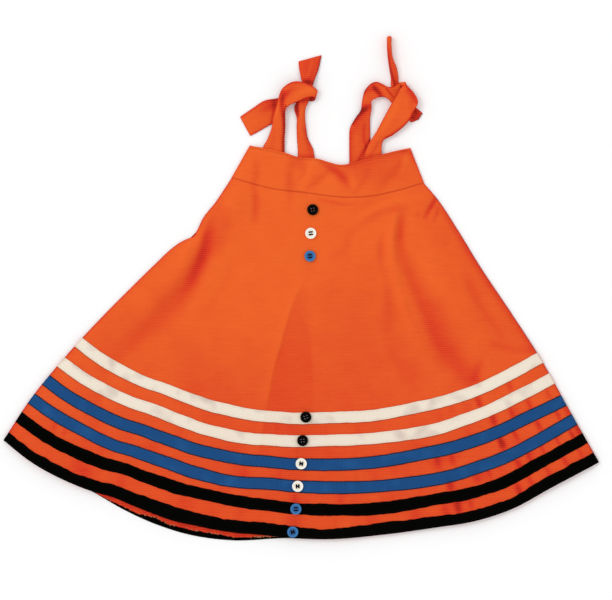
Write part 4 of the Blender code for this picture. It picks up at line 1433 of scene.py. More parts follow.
STRAPS = {
    "strap_front_left": StrapSize(0.24, (
        (-50, 169, -22, 164, 2.3, 0), (-50, 180, -22, 176, 2.8, 0), (-43, 194, -22, 193, 4, 1),
        (-38, 208, -21, 208, 5.5, 2), (-36, 221, -21, 221, 7, 2), (-32, 234, -21, 229, 8.5, 1),
        (-25, 257, -16, 237, 10, 0), (-10, 267, -5, 242, 10.5, 1), (11, 263, 10, 248, 10.4, 0),
        (19, 258, 16, 248, 9, 0), (21, 255, 18, 245, 6, 0), (17, 254, 15, 243, 3.2, 0),
        (5, 263, 4, 246, 1.7, 0), (-7, 262, -9, 244.5, 1.3, 0), (-18, 254, -21, 233.5, 1.3, 0),
        (-29, 246.5, -34, 216.5, 1.3, 0), (-47, 243, -43, 211, 1.3, 0), (-63, 233, -55, 204, 1.3, 1),
        (-79, 222, -66, 198, 1.1, 0),
    ), (
        Fold("lit edge where the strap turns up", ((-28.9, 243.1, 1.4, 0.1, -0.25),
            (-30.4, 234, 1.4, 0.2, -0.3), (-32.5, 223.6, 1.7, 0.1, -0.15)), (3, 6)),
        Fold("deep side of the turn", ((-24.1, 253.5, 3, -0.2, 0.6), (-25.2, 243.1, 3.4, 3.6, -0.4, 1.05),
            (-24.7, 231.4, 3, 3.9, -0.4, 0.9), (-24.1, 218.4, 1.8, 2.3, -0.2, 0.35),
            (-23.4, 205.4, 1.6, 1.8, 0, 0.1)), (2.5, 6.5)),
        Fold("red hollow in the loop", ((-22.8, 245.7, 3.2, -0.2, 0.5), (-18.9, 252.2, 4.2, -0.4, 0.75),
            (-13, 257.4, 3.9, -0.2, 0.4), (-6.5, 261.3, 2.9, 0, 0.1)), (5.5, 8)),
        Fold("lit band of the loop", ((-11.7, 245.7, 2.9, 0, -0.1), (-2.6, 251.6, 3.9, 0.4, -0.3),
            (7.8, 256.1, 4.4, 0.5, -0.35), (15.6, 256.1, 3.1, 0.3, -0.2)), (6.5, 9.6)),
        Fold("shade along the top of the loop", ((-23.4, 260, 1.6, 0, 0.35), (-14.3, 264.6, 1.7, 0, 0.5),
            (-1.3, 265.5, 1.7, 0, 0.45), (11.7, 262.6, 1.6, 0, 0.4), (19.5, 257.4, 1.4, 0, 0.4)), (6, 9.5)),
        Fold("underside of the turned end", ((20.2, 248.3, 3.4, 0, 1.2), (10.4, 243.1, 4.2, 0, 1.3),
            (-1.3, 240.5, 4.2, 0, 1.4), (-11.7, 237.9, 3.9, 0, 1.2)), (9.4, 13)),
        Fold("red hollow in the tail", ((-27.3, 240.5, 5.2, -0.3, 0.7),
            (-37.7, 237.9, 6.5, 5.9, -0.5, 0.85), (-48.1, 232.7, 5.9, -0.3, 0.45),
            (-57.2, 228.8, 3.9, 0, 0.12)), (14, 18)),
        Fold("shade along the tail's top edge", ((-31.2, 244.7, 1.7, 0, 0.5),
            (-46.8, 240.8, 1.7, 0, 0.45), (-62.4, 232.1, 1.6, 0, 0.35), (-78, 221.7, 1.3, 0, 0.3)), (14, 18)),
        Fold("shade along the tail's lower edge", ((-37.7, 213.8, 1.6, 0, 0.5),
            (-50.7, 206.7, 1.6, 0, 0.4), (-65, 199.4, 1.4, 0, 0.3)), (14, 18)),
        Fold("crossing shade under the strap", ((-35.1, 244.4, 2.9, 0, 0.5), (-35.8, 228.8, 2.9, 0, 0.6),
            (-37.7, 213.2, 2.6, 0, 0.6)), (13.4, 16)),
        Fold("soft shade at the root", ((-44.2, 179.4, 3.9, 0, 0.2), (-39, 169, 6.5, 0, 0.35),
            (-27.3, 166.4, 5.2, 0, 0.3)), (0, 3)),
        Fold("overlocked edge in shade", ((-23, 168, 2.6, 3, 0, 0.55), (-23.2, 193, 2.8, 3, 0, 0.7),
            (-22.4, 208, 2.8, 3, 0, 0.7), (-22.4, 226, 2.6, 3, 0, 0.55)), (0.5, 5.6)),
        Fold("long soft shade", ((-35.1, 205.4, 2.6, 0, 0.12), (-36.4, 191.1, 3.1, -0.2, 0.2),
            (-39, 176.8, 3.1, 0, 0.16)), (1, 4)),
    )),
    "strap_back_left": StrapSize(0.36, (
        (-4, 156, 18, 153, 2.3, 0), (-4, 169, 17, 167, 2.3, 0), (-4, 180, 15, 180, 2, 2),
        (-5, 193, 9, 193, 1.6, 5), (-5.5, 208, 6, 208, 2.4, 6), (-5.5, 221, 4.5, 221, 3.6, 4),
        (-8.5, 232, 5, 232, 4.6, 2), (-5, 244, 10, 244, 5, 1), (-1, 255, 13, 255, 5.4, 1),
        (2, 264, 15, 264, 5.4, 1), (0, 273, 18, 273, 4.2, 3), (-2, 284, 22, 284, 2.4, 3),
        (-3, 294, 26, 302, 1.1, 0),
    ), (
        Fold("deep facet under the loop", ((-4.4, 243.1, 3.1, 2.6, -0.2, 1.5),
            (-5.7, 235.3, 3.1, 2.6, -0.3, 1.8), (-4.9, 228.8, 2.6, 2.1, -0.3, 1.6),
            (-3.6, 221.7, 1.4, 1.3, 0, 0.9)), (3, 8)),
        Fold("shade under the loop", ((2.6, 243.1, 3.9, 3.2, 0, 0.9), (10.4, 244.4, 3.2, 0, 0.8)), (4, 8.5)),
        Fold("lit strip beside the facet", ((2, 236.6, 1.6, 0.1, -0.2), (0, 228.8, 1.6, 0.1, -0.25),
            (-1.6, 219.7, 1.6, 0, -0.1)), (3, 6)),
        Fold("right half in shade", ((3.2, 221, 2, 2.6, 0, 0.3), (5.9, 202.8, 2.3, 3.2, -0.2, 0.5),
            (9.8, 184.6, 2.9, 3.9, -0.2, 0.4), (13, 170.3, 3.4, 3.9, 0, 0.3)), (0, 4)),
        Fold("deep tail", ((10.4, 267.8, 9.1, 0, 0.5), (11.1, 283.4, 14.3, 0, 0.48),
            (11.7, 299, 16.9, 0, 0.48)), (8.6, 12)),
        Fold("dark foot of the tail", ((3.9, 265.2, 3.9, -0.3, 0.9), (9.1, 267.2, 3.9, -0.3, 0.9),
            (14.3, 266.5, 2.6, 0, 0.6)), (8.6, 12)),
        Fold("right edge of the tail", ((15.6, 265.2, 1.6, 0, 0.5), (20.2, 278.2, 1.6, 0, 0.55),
            (24.2, 293.8, 1.7, 0, 0.6), (25.5, 301.6, 1.6, 0, 0.6)), (8.6, 12)),
        Fold("lit stripe in the tail", ((7.8, 273, 2.1, 0.1, -0.25), (11.1, 283.4, 2.5, 0.2, -0.3),
            (14.3, 293.8, 2.6, 0.1, -0.2)), (9, 12)),
        Fold("soft shade at the root", ((-3.9, 171.6, 3.9, 0, 0.3), (6.5, 169, 5.2, 0, 0.35),
            (16.9, 169, 3.9, 0, 0.3)), (0, 1.5)),
    )),
    "strap_back_right": StrapSize(0.46, (
        (62, 151, 89, 156, 2.3, 0), (63, 163, 90, 169, 2.3, 0), (63, 180, 90, 182, 1.8, 0),
        (63, 195, 89, 195, 1.6, 1), (64, 208, 89, 208, 2, 2), (71, 221, 89, 221, 3.4, 2),
        (78, 232, 91, 234, 5.2, 1), (80, 245, 91, 243, 6.4, 0), (83, 256, 96, 246, 7, 0),
        (90, 264, 101, 248, 7.4, 0), (98, 267, 108, 248, 7.4, 0), (106, 264, 113, 245, 6.8, 0),
        (113, 260.5, 118, 240, 5.6, 0), (121, 261, 125, 235, 4.4, 0), (129, 256, 132, 229, 3.2, 0),
        (140, 242, 138, 222, 2.2, 0), (148, 235, 143, 216, 1.5, 0), (157, 227, 152, 219, 1.1, 0),
    ), (
        Fold("broad shade below the loop", ((69, 204, 5, 0, 0.2), (74, 217, 6, 0, 0.4),
            (82, 230, 6, 0, 0.4)), (3, 8)),
        Fold("deep side below the fold line", ((67.1, 213.2, 2.5, 3.1, -0.2, 0.75),
            (72.8, 222.3, 2.9, 3.9, -0.5, 1.05), (79.3, 229.5, 3.4, 4.7, -0.6, 1.2),
            (85.8, 234, 3.4, 4.2, -0.5, 1), (91, 236.6, 2.1, 2.9, -0.2, 0.6)), (3, 8)),
        Fold("lit cloth above the fold line", ((68.9, 231.4, 2.3, 0.2, -0.2),
            (75.4, 240.5, 3.1, 0.4, -0.25), (83.2, 246.3, 3.1, 0.3, -0.2)), (5, 9)),
        Fold("deep dimple", ((93.6, 261.9, 2.6, -0.2, 0.6), (98.2, 256.1, 3, 3.4, -0.6, 1.15),
            (102.7, 250.2, 2.6, 2.9, -0.5, 1.05), (107.2, 245.1, 2, -0.2, 0.6)), (7.5, 13)),
        Fold("shade inside the top of the loop", ((81.9, 253.5, 2.3, 0, 0.35),
            (88.4, 257.4, 3.4, -0.2, 0.5), (94.9, 258.7, 3.4, -0.2, 0.6)), (7, 11)),
        Fold("shade along the outside of the loop", ((79.3, 244.4, 1.4, 0, 0.4),
            (83.2, 256.1, 1.6, 0, 0.45), (91, 264.6, 1.6, 0, 0.45), (98.8, 265.9, 1.6, 0, 0.4),
            (106.6, 261.9, 1.6, 0, 0.45)), (6, 12)),
        Fold("lit ridge by the wrap", ((104, 260, 1.8, 0.2, -0.2), (109.9, 252.2, 2.1, 0.3, -0.25),
            (114.4, 245.7, 2.1, 0.2, -0.15)), (9, 13)),
        Fold("line of the wrap", ((110.5, 258.7, 1, -0.3, 0.7), (115, 253.5, 1, -0.4, 0.8),
            (119.6, 247.7, 1, -0.3, 0.7)), (10.5, 14)),
        Fold("long crease", ((82.5, 215.8, 2.1, -0.2, 0.35), (81.2, 200.2, 2.1, -0.4, 0.45),
            (83.2, 185.9, 2.1, -0.3, 0.4), (87.1, 176.8, 1.8, 0, 0.2)), (0.5, 4.5)),
        Fold("left edge in shade", ((65, 202.8, 2.1, 0, 0.35), (64.4, 185.9, 2.1, 0, 0.3),
            (64.4, 166.4, 2.1, 0, 0.35)), (0, 4)),
        Fold("lit middle of the strap", ((71.5, 208, 2.9, 0.1, -0.1), (72.2, 189.8, 3.4, 0.2, -0.15),
            (72.8, 176.8, 3.1, 0, -0.1)), (0.5, 4)),
        Fold("shade beside the crossing strap", ((88.4, 191.1, 2.1, 0, 0.9), (83.9, 182, 2.3, 0, 0.9),
            (78.7, 172.9, 2.3, 0, 0.8), (74.1, 165.1, 2.3, 0, 0.6)), (0, 3)),
        Fold("deep end of the tail", ((140.4, 230.1, 9.1, 0, 0.95),
            (149.5, 223.6, 10.4, 0, 0.85)), (13.2, 17)),
        Fold("creases in the tail", ((145.6, 233.3, 1.4, -0.4, 0.6), (150.8, 227.5, 1.4, -0.4, 0.3),
            (156, 226.2, 1.3, 0, -0.3)), (13.2, 17)),
        Fold("second crease in the tail", ((141.7, 223.6, 1.4, -0.3, 0.5),
            (146.9, 219.1, 1.4, -0.3, 0.4)), (13.2, 17)),
    )),
    "strap_front_right": StrapSize(0.25, (
        (80, 156, 104, 161, 4.2, 0), (81, 167, 104, 172, 4.3, 0), (85, 180, 104, 182, 5, 1),
        (90, 190, 106, 191, 5.6, 3), (97, 201, 118, 198, 6.2, 3), (104, 214, 131, 208, 7.2, 1),
        (111, 227, 140, 218, 8.4, 0), (117, 238, 146, 230, 9.4, 0), (123, 248, 151, 242, 10, 0),
        (127, 257, 145, 254, 9.8, 0), (129, 264, 136, 264, 8.6, 0), (127, 266, 135, 267, 6.8, 0),
        (124, 263, 131, 263, 5.2, 0), (119, 259, 128, 259, 4.4, 0), (118, 257, 127, 257, 3.2, 0),
        (118, 259, 127, 259, 1.9, 0), (117, 264, 126, 264, 1.3, 1), (117, 271, 126, 271, 1.1, 6),
        (115, 284, 124, 285, 1.1, 9), (113, 298, 119, 298, 1.1, 10), (112, 312, 117, 312, 1.1, 10),
        (112, 326, 117, 326, 1.1, 9),
    ), (
        Fold("lit middle of the band", ((126.1, 248.3, 3.9, 0.2, -0.1), (122.2, 234, 4.7, 0.4, -0.22),
            (115.7, 221, 4.4, 0.4, -0.22), (106.6, 206.7, 3.4, 0.2, -0.15)), (2, 8)),
        Fold("shade along the lower right edge", ((104.7, 184.6, 1.6, 0, 0.5),
            (107.2, 191.8, 2.1, 1.7, -0.2, 0.8), (118.3, 199.6, 2.1, 1.7, -0.3, 0.85),
            (130, 208, 2, 1.7, -0.2, 0.75), (139.8, 218.4, 1.8, 1.7, 0, 0.6),
            (145.6, 231.4, 1.8, 1.7, 0, 0.5)), (1, 7)),
        Fold("shade along the upper right edge", ((148.8, 240.5, 2.4, 2, 0, 0.6),
            (143, 253.5, 2.4, 2.1, 0, 0.75), (135.8, 262.6, 2.4, 2.1, 0, 0.8)), (6, 10.4)),
        # Painted shade on this side of the band at the top
        Fold("shaded side of the band at the top", ((137.8, 254.8, 3.1, -0.2, 0.4),
            (143, 245.7, 3.4, -0.2, 0.4), (143, 235.3, 3.4, 0, 0.25)), (7, 10.2)),
        Fold("hollow of the curl", ((125.3, 256.8, 1.3, -0.3, 1.2), (128.2, 260.3, 1.7, -0.6, 1.9),
            (132, 262.6, 1.3, -0.3, 1)), (8.4, 12)),
        Fold("crease from the curl", ((126.1, 254.8, 1.2, -0.3, 0.6), (121.5, 247, 1.2, -0.3, 0.6),
            (117.7, 240.5, 1.2, -0.2, 0.4)), (7, 10)),
        Fold("lit rim of the curl", ((123.5, 262.6, 1.2, 0.2, -0.2), (128.7, 265.2, 1.2, 0.2, -0.25),
            (133.9, 262.6, 1.2, 0.1, -0.2)), (9, 12.5)),
        Fold("deep facet of the tail", ((121.5, 262.6, 2.1, 1.6, -0.2, 0.9),
            (119.1, 273, 1.6, 1.4, -0.2, 1.2), (115.7, 288.6, 1.3, -0.2, 1.1), (113.9, 304.2, 1.2, -0.1, 0.8),
            (112.6, 319.8, 1, 0, 0.3)), (15, 22)),
        # Painted shade over the tail
        Fold("shaded tail", ((123.5, 265.2, 3.9, 0, 0.5), (119.6, 286, 3.9, 0, 0.4),
            (115.7, 306.8, 3.9, 0, 0.25), (114.4, 325, 3.9, 0, 0.15)), (15, 22)),
        Fold("soft shade at the root", ((81.9, 169, 3.9, 0, 0.45), (92.3, 170.3, 4.5, 0, 0.35),
            (102.7, 174.2, 3.9, 0, 0.3)), (0, 1.6)),
        Fold("long crease near the root", ((100.1, 188.5, 2, -0.2, 0.3), (94.9, 179.4, 2, -0.2, 0.35),
            (89.7, 171.6, 2, 0, 0.25)), (0.4, 3)),
    )),
}


@dataclass
class Straps:
    """The four shoulder straps, tied in two knots.

    Attributes:
        room: The workroom.
        cells: Cells across a strap.
        step: Distance between rows.
        cloth: Thickness of the cloth that shows.
        flat_width: Width of a strap as it was cut and folded, in metres.
        tops: Upper face of each strap, once it is built.
    """

    room: Workroom
    cells: int = 24
    step: float = 1.1
    cloth: float = 1.1
    flat_width: float = 0.027
    tops: dict = field(default_factory=dict)

    def surface(self, table: tuple) -> tuple:
        """Middle of a strap's cloth, swept through its stations from its free end to its root.

        Args:
            table: The stations.

        Returns:
            Grid of points, running length of its rows, and number of the station at each row.
        """
        stations = np.array(table, float)
        middle = np.column_stack([stations[:, [0, 2]].mean(axis=1), stations[:, [1, 3]].mean(axis=1)])
        knots = running_length(np.column_stack([middle, stations[:, 4]]))
        places = np.linspace(0, knots[-1], max(8, int(knots[-1] / self.step)))[::-1]
        rows = smooth_curve(stations, places, knots)
        share = np.linspace(0, 1, self.cells + 1)[None, :]
        x = rows[:, 0:1] * (1 - share) + rows[:, 2:3] * share
        y = rows[:, 1:2] * (1 - share) + rows[:, 3:4] * share
        z = rows[:, 4:5] + rows[:, 5:6] * 4 * share * (1 - share)
        return np.stack([x, y, z], axis=-1), places, np.interp(places, knots, np.arange(len(knots)))

    def build_strap(self, node: str, size: StrapSize) -> None:
        """Build one strap.

        Args:
            node: Its node.
            size: Its sizes.
        """
        cloth, places, numbers = self.surface(size.stations)
        share, width = np.linspace(0, 1, self.cells + 1)[None, :], row_width(cloth)
        height, shade = np.zeros(cloth.shape[:2]), np.zeros(cloth.shape[:2])
        for fold in size.creases:
            first, last = fold.reach
            on = smoothstep((numbers - first) / 0.4 + 0.5) * smoothstep((last - numbers) / 0.4 + 0.5)
            rise, dark = fold.read(cloth[..., 0], cloth[..., 1])
            height, shade = height + on[:, None] * rise, shade + on[:, None] * dark
        shade = shade + size.base_shade + 0.55 * bell(np.minimum(share, 1 - share) * width, 0.8)
        pattern = np.dstack([share * width, places[:, None].repeat(self.cells + 1, 1)])
        shade = np.clip(shade, -0.3, 2.0)
        shell = ClothShell(node, cloth, self.cloth, shade, pattern, 1.15, under_shade=None)
        shell.top = cloth + (height[..., None] + 0.5 * self.cloth) * shell.normals()
        self.tops[node] = shell.top
        length = float(places[0]) * MM
        area = float((width[:-1, 0] * -np.diff(places)).sum()) * MM * MM
        box = self.flat_width * length
        area = min(max(area, 0.31 * box), box)
        shell.lay(
            self.room, Slot.ORANGE
        )

    def build(self) -> None:
        """Build every strap."""
        for node, size in STRAPS.items():
            self.build_strap(node, size)


# ---- buttons


def select_only(*pieces: bpy.types.Object) -> None:
    """Select some objects alone, and make the first one active.

    Args:
        pieces: The objects.
    """
    bpy.ops.object.select_all(action="DESELECT")
    for piece in pieces:
        piece.select_set(True)
    bpy.context.view_layer.objects.active = pieces[0]


def take_mesh(made: list) -> bpy.types.Mesh:
    """Join modelled objects and take their mesh.

    Args:
        made: The objects, which are removed.

    Returns:
        One smooth mesh, with each place in it.
    """
    select_only(*made)
    bpy.ops.object.join()
    bpy.ops.object.transform_apply(location=True, rotation=True, scale=True)
    bpy.ops.object.shade_smooth()
    mesh = made[0].data.copy()
    bpy.data.objects.remove(made[0])
    return mesh


# Colour, turn of the thread in degrees, and whether a slant crosses between the bars, from the top
BUTTONS = (
    (Slot.BLACK_BUTTON, 12, False), (Slot.WHITE_BUTTON, 6, False), (Slot.BLUE_BUTTON, 4, False),
    (Slot.BLACK_BUTTON, 20, False), (Slot.BLACK_BUTTON, 5, False), (Slot.WHITE_BUTTON, 82, True),
    (Slot.WHITE_BUTTON, 94, True), (Slot.BLUE_BUTTON, 0, False), (Slot.BLUE_BUTTON, 104, True),
)


@dataclass
class Buttons:
    """Nine four-hole buttons down the front.

    Attributes:
        room: The workroom.
        radius: Outer radius, in metres.
        height: Height of the rim.
        dish_radius: Radius of the dish.
        dish_depth: Depth of the dish.
        hole_radius: Radius of a hole.
        hole_spacing: Distance between two holes.
        thread_radius: Radius of the doubled thread.
        dot_radius: Radius of a knot of thread in a hole of a black button.
        edge_round: How far its edges are rounded.
    """

    room: Workroom
    radius: float = 0.0072
    height: float = 0.0026
    dish_radius: float = 0.0050
    dish_depth: float = 0.0008
    hole_radius: float = 0.00095
    hole_spacing: float = 0.0033
    thread_radius: float = 0.00095
    dot_radius: float = 0.00065
    edge_round: float = 0.00022

    def holes(self) -> list:
        """Middle of each of the four holes."""
        return [(x * self.hole_spacing, y * self.hole_spacing) for x, y in product((-0.5, 0.5), repeat=2)]

    def model(self) -> bpy.types.Mesh:
        """Model one button by hand.

        Returns:
            Its mesh, standing on its underside at the origin.
        """
        bpy.ops.object.select_all(action="DESELECT")
        bpy.ops.mesh.primitive_cylinder_add(
            vertices=40, radius=self.radius, depth=self.height, location=(0, 0, self.height / 2)
        )
        body = bpy.context.active_object
        self.select_top(body)
        rim = self.radius - self.dish_radius
        bpy.ops.object.mode_set(mode="EDIT")
        flange, slope, floor = 0.55 * rim, 0.45 * rim, 0.3 * self.dish_radius
        for thickness, depth in ((flange, 0), (slope, -self.dish_depth), (floor, 0)):
            bpy.ops.mesh.inset(thickness=thickness, depth=depth)
        bpy.ops.object.mode_set(mode="OBJECT")
        for x, y in self.holes():
            self.drill(body, x, y)
        bevel = body.modifiers.new("edges", "BEVEL")
        bevel.width, bevel.segments, bevel.limit_method = self.edge_round, 2, "ANGLE"
        bevel.angle_limit = math.radians(28)
        select_only(body)
        bpy.ops.object.modifier_apply(modifier=bevel.name)
        bpy.ops.object.transform_apply(location=True, rotation=True, scale=True)
        bpy.ops.object.shade_smooth_by_angle(angle=math.radians(35))
        mesh = body.data.copy()
        bpy.data.objects.remove(body)
        # Painted shade: the dish and the turned-down edge are darker
        shade = mesh.attributes.new("shade", "FLOAT", "POINT")
        for vertex, item in zip(mesh.vertices, shade.data):
            reach = vertex.co.xy.length
            dish = smoothstep((self.dish_radius * 1.04 - reach) / 0.0004)
            item.value = float(max(dish, smoothstep((reach - 0.9 * self.radius) / 0.0006)))
        return mesh

    def select_top(self, body: bpy.types.Object) -> None:
        """Select only the top face of a body.

        Args:
            body: The body, in object mode.
        """
        for group in (body.data.vertices, body.data.edges, body.data.polygons):
            for item in group:
                item.select = False
        highest = max(body.data.polygons, key=lambda face: face.center.z + face.area)
        highest.select = True
        for index in highest.vertices:
            body.data.vertices[index].select = True

    def drill(self, body: bpy.types.Object, x: float, y: float) -> None:
        """Cut one hole.

        Args:
            body: The button's body.
            x: Place of the hole.
            y: Place of the hole.
        """
        bpy.ops.object.select_all(action="DESELECT")
        bpy.ops.mesh.primitive_cylinder_add(
            vertices=14, radius=self.hole_radius, depth=self.height * 4, location=(x, y, 0)
        )
        cutter = bpy.context.active_object
        cut = body.modifiers.new("hole", "BOOLEAN")
        cut.operation, cut.solver, cut.object = "DIFFERENCE", "EXACT", cutter
        select_only(body)
        bpy.ops.object.modifier_apply(modifier=cut.name)
        bpy.data.objects.remove(cutter)

    def model_thread(self, slant: bool) -> bpy.types.Mesh:
        """Model the sewing through one button: two bars, and the slant between them.

        Args:
            slant: Whether the slant shows.

        Returns:
            Its mesh, at the origin.
        """
        half = self.hole_spacing / 2
        top = self.height - self.dish_depth - 0.0003
        bars = [(-half, 0, 1.4 * half), (half, 0, 1.4 * half), (0, 45, half * math.sqrt(2))]
        made = []
        for y, turn, reach in bars if slant else bars[:2]:
            bpy.ops.object.select_all(action="DESELECT")
            bpy.ops.mesh.primitive_torus_add(
                major_segments=20, minor_segments=8, major_radius=reach, minor_radius=self.thread_radius,
                location=(0, 0, 0), rotation=(math.pi / 2, 0, math.radians(turn)),
            )
            made.append(bpy.context.active_object)
            bpy.ops.object.transform_apply(location=False, rotation=True, scale=False)
            bpy.ops.object.mode_set(mode="EDIT")
            bpy.ops.mesh.select_all(action="SELECT")
            bpy.ops.transform.resize(value=(1, 1, 0.34), center_override=(0, 0, 0))
            bpy.ops.transform.translate(value=(0, y, top - 0.00005))
            bpy.ops.object.mode_set(mode="OBJECT")
        return take_mesh(made)

    def model_dots(self) -> bpy.types.Mesh:
        """Model the four knots of thread that show in the holes of a black button.

        Returns:
            Their mesh, at the origin.
        """
        made, level = [], self.height - self.dish_depth
        for x, y in self.holes():
            bpy.ops.object.select_all(action="DESELECT")
            bpy.ops.mesh.primitive_uv_sphere_add(
                segments=12, ring_count=8, radius=self.dot_radius, location=(x, y, level)
            )
            made.append(bpy.context.active_object)
        return take_mesh(made)

    def placed(self, mesh: bpy.types.Mesh, seat: tuple, turn: float) -> bpy.types.Mesh:
        """Copy a mesh to its place.

        Args:
            mesh: The mesh to copy.
            seat: Where the middle of its underside goes.
            turn: Turn about the upright, in degrees.

        Returns:
            The copy.
        """
        copy = mesh.copy()
        points = np.zeros(len(copy.vertices) * 3)
        copy.vertices.foreach_get("co", points)
        points = points.reshape(-1, 3)
        c, s = math.cos(math.radians(turn)), math.sin(math.radians(turn))
        points[:, :2] = points[:, :2] @ np.array([[c, s], [-s, c]])
        copy.vertices.foreach_set("co", (points + np.array(seat)).ravel())
        copy.update()
        return copy

    def build(self) -> None:
        """Build every button and its sewing."""
        body = self.model()
        threads = {True: self.model_thread(True), False: self.model_thread(False)}
        dots = self.model_dots()
        for number, (slot, turn, slant) in enumerate(BUTTONS, start=1):
            node = f"button_{number}"
            low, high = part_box(node)
            seat = ((low.x + high.x) / 2, (low.y + high.y) / 2, low.z)
            self.room.finish_piece(node + "_turned", self.placed(body, seat, turn), slot, slot, (node,))
            black = slot is Slot.BLACK_BUTTON
            sewn = self.placed(dots if black else threads[slant], seat, turn)
            self.room.finish_piece(node + "_thread", sewn, "grey" if black else "dark", Slot.BLACK_BUTTON)


# ---- sewing


@dataclass
class Sewing:
    """Rows of machine stitches.

    Attributes:
        room: The workroom.
        pitch: Distance from stitch to stitch, in millimetres.
        length: Length of a stitch.
        radius: Radius of the thread.
        overlock_pitch: Distance between two stitches of the overlocked edge.
        overlock_reach: How far in they reach.
        stitch: Points and faces of one stitch, once it is modelled.
    """

    room: Workroom
    pitch: float = 3.2
    length: float = 2.5
    radius: float = 0.22
    overlock_pitch: float = 3.0
    overlock_reach: float = 3.6
    stitch: tuple = ()

    def model(self) -> tuple:
        """Model one stitch by hand, lying along X.

        Returns:
            Its points and its faces.
        """
        bpy.ops.object.select_all(action="DESELECT")
        bpy.ops.mesh.primitive_uv_sphere_add(segments=6, ring_count=4, radius=self.radius, location=(0, 0, 0))
        bead = bpy.context.active_object
        bpy.ops.object.mode_set(mode="EDIT")
        bpy.ops.mesh.select_all(action="SELECT")
        bpy.ops.transform.rotate(value=math.pi / 2, orient_axis="Y", center_override=(0, 0, 0))
        bpy.ops.transform.resize(value=(0.5 * self.length / self.radius, 1, 0.9), center_override=(0, 0, 0))
        bpy.ops.object.mode_set(mode="OBJECT")
        points = np.array([vertex.co for vertex in bead.data.vertices])
        faces = [tuple(face.vertices) for face in bead.data.polygons]
        bpy.data.objects.remove(bead)
        return points, faces

    def sew(self, name: str, stitches: list, thread: str, slot: Slot, thick: float = 1.0) -> None:
        """Copy the stitch to many places.

        Args:
            name: Name of the piece.
            stitches: Middle of each stitch, its direction, and its length against the usual one.
            thread: Which thread.
            slot: Slot of the record for the piece; not used.
            thick: Thickness of the thread against the usual one.
        """
        points, faces = self.stitch
        all_points, all_faces = [], []
        for middle, way, stretch in stitches:
            way = np.asarray(way, float) / np.linalg.norm(way)
            sideways = unit(np.cross([0.0, 0.0, 1.0], way))
            start = len(all_points) * len(points)
            sized = points * np.array([stretch, thick, thick])
            turned = sized @ np.array([way, sideways, np.cross(way, sideways)])
            all_points.append(np.asarray(middle) + turned)
            all_faces += [tuple(start + i for i in face) for face in faces]
        mesh = self.room.mesh_of(name, np.vstack(all_points), all_faces)
        self.room.finish_piece(name, mesh, thread, slot)

    def along(self, run: np.ndarray, pitch: float) -> list:
        """Set stitches along a line.

        Args:
            run: Points of the line.
            pitch: Distance from stitch to stitch.

        Returns:
            Stitches, as sew takes them.
        """
        lengths = running_length(run)
        centres = np.arange(pitch, lengths[-1] - pitch, pitch)
        at, ahead = (read_line(places, lengths, run) for places in (centres, centres + 0.5))
        return [(here, there - here, 1.0) for here, there in zip(at, ahead)]

    def overlock(self, top: np.ndarray) -> list:
        """Set stitches across the overlocked edge of a strap.

        Args:
            top: Upper face of the strap near its root.

        Returns:
            Stitches, as sew takes them.
        """
        outer = top[:, -1] + [0, 0, 0.3]
        inward = top[:, -7] + [0, 0, 0.3] - outer
        inward = inward * np.minimum(1, self.overlock_reach / np.linalg.norm(inward, axis=1, keepdims=True))
        inner, outer = outer + inward, outer - 0.06 * inward
        lengths = running_length(outer)
        # Real overlock stitches are 2 mm apart; they are drawn 3 mm apart, so that they show at this size
        centres = np.arange(self.overlock_pitch, lengths[-1], self.overlock_pitch)
        start, end = (read_line(centres, lengths, line) for line in (inner, outer))
        reach = np.linalg.norm(end - start, axis=-1) / self.length
        return [(a + 0.5 * (b - a), b - a, r) for a, b, r in zip(start, end, reach)]

    def fray(self, run: np.ndarray, tufts: tuple, way: tuple, seed: int) -> list:
        """Set loose threads along a raw edge.

        Args:
            run: Points of the edge.
            tufts: Rows of first x, last x and number of threads.
            way: Which way they lie.
            seed: Seed of the draw.

        Returns:
            Threads, as sew takes them.
        """
        generator = np.random.default_rng(seed)
        order = np.argsort(run[:, 0])
        threads = []
        for first, last, count in tufts:
            for x in generator.uniform(first, last, count):
                at = read_line(x, run[order, 0], run[order])
                turn = np.array(way) + generator.normal(0, 0.55, 3) * np.array([1, 1, 0.15])
                at = at + np.array([0, generator.uniform(-0.9, 0.6), generator.uniform(0.15, 0.4)])
                threads.append((at, turn, generator.uniform(0.5, 1.3)))
        return threads

    def build(self, skirt: Skirt, tapes: SkirtTapes, bodice: Bodice, straps: Straps) -> None:
        """Sew the garment.

        Args:
            skirt: The skirt, with its raw edge.
            tapes: The tapes, with their sewn lines.
            bodice: The bodice, with its seams.
            straps: The straps.
        """
        self.stitch = self.model()
        for tape in TAPES:
            *sewn, beside = tapes.edge_runs[tape.name]
            stitches = [s for run in sewn for s in self.along(run, self.pitch)]
            self.sew(tape.name + "_stitches", stitches, tape.thread, tape.slot)
            # Below each cream tape, a line of touching rust stitches on the cloth: thread, and painted shadow
            # of the tape's edge
            if tape.slot is Slot.CREAM:
                edge = self.along(beside, self.length)
                self.sew(tape.name + "_edge_thread_and_shadow", edge, "rust", Slot.ORANGE, 1.7)
        seam = [s for run in bodice.seam_runs for s in self.along(run, self.pitch)]
        self.sew("bodice_stitches", seam, "red", Slot.ORANGE)
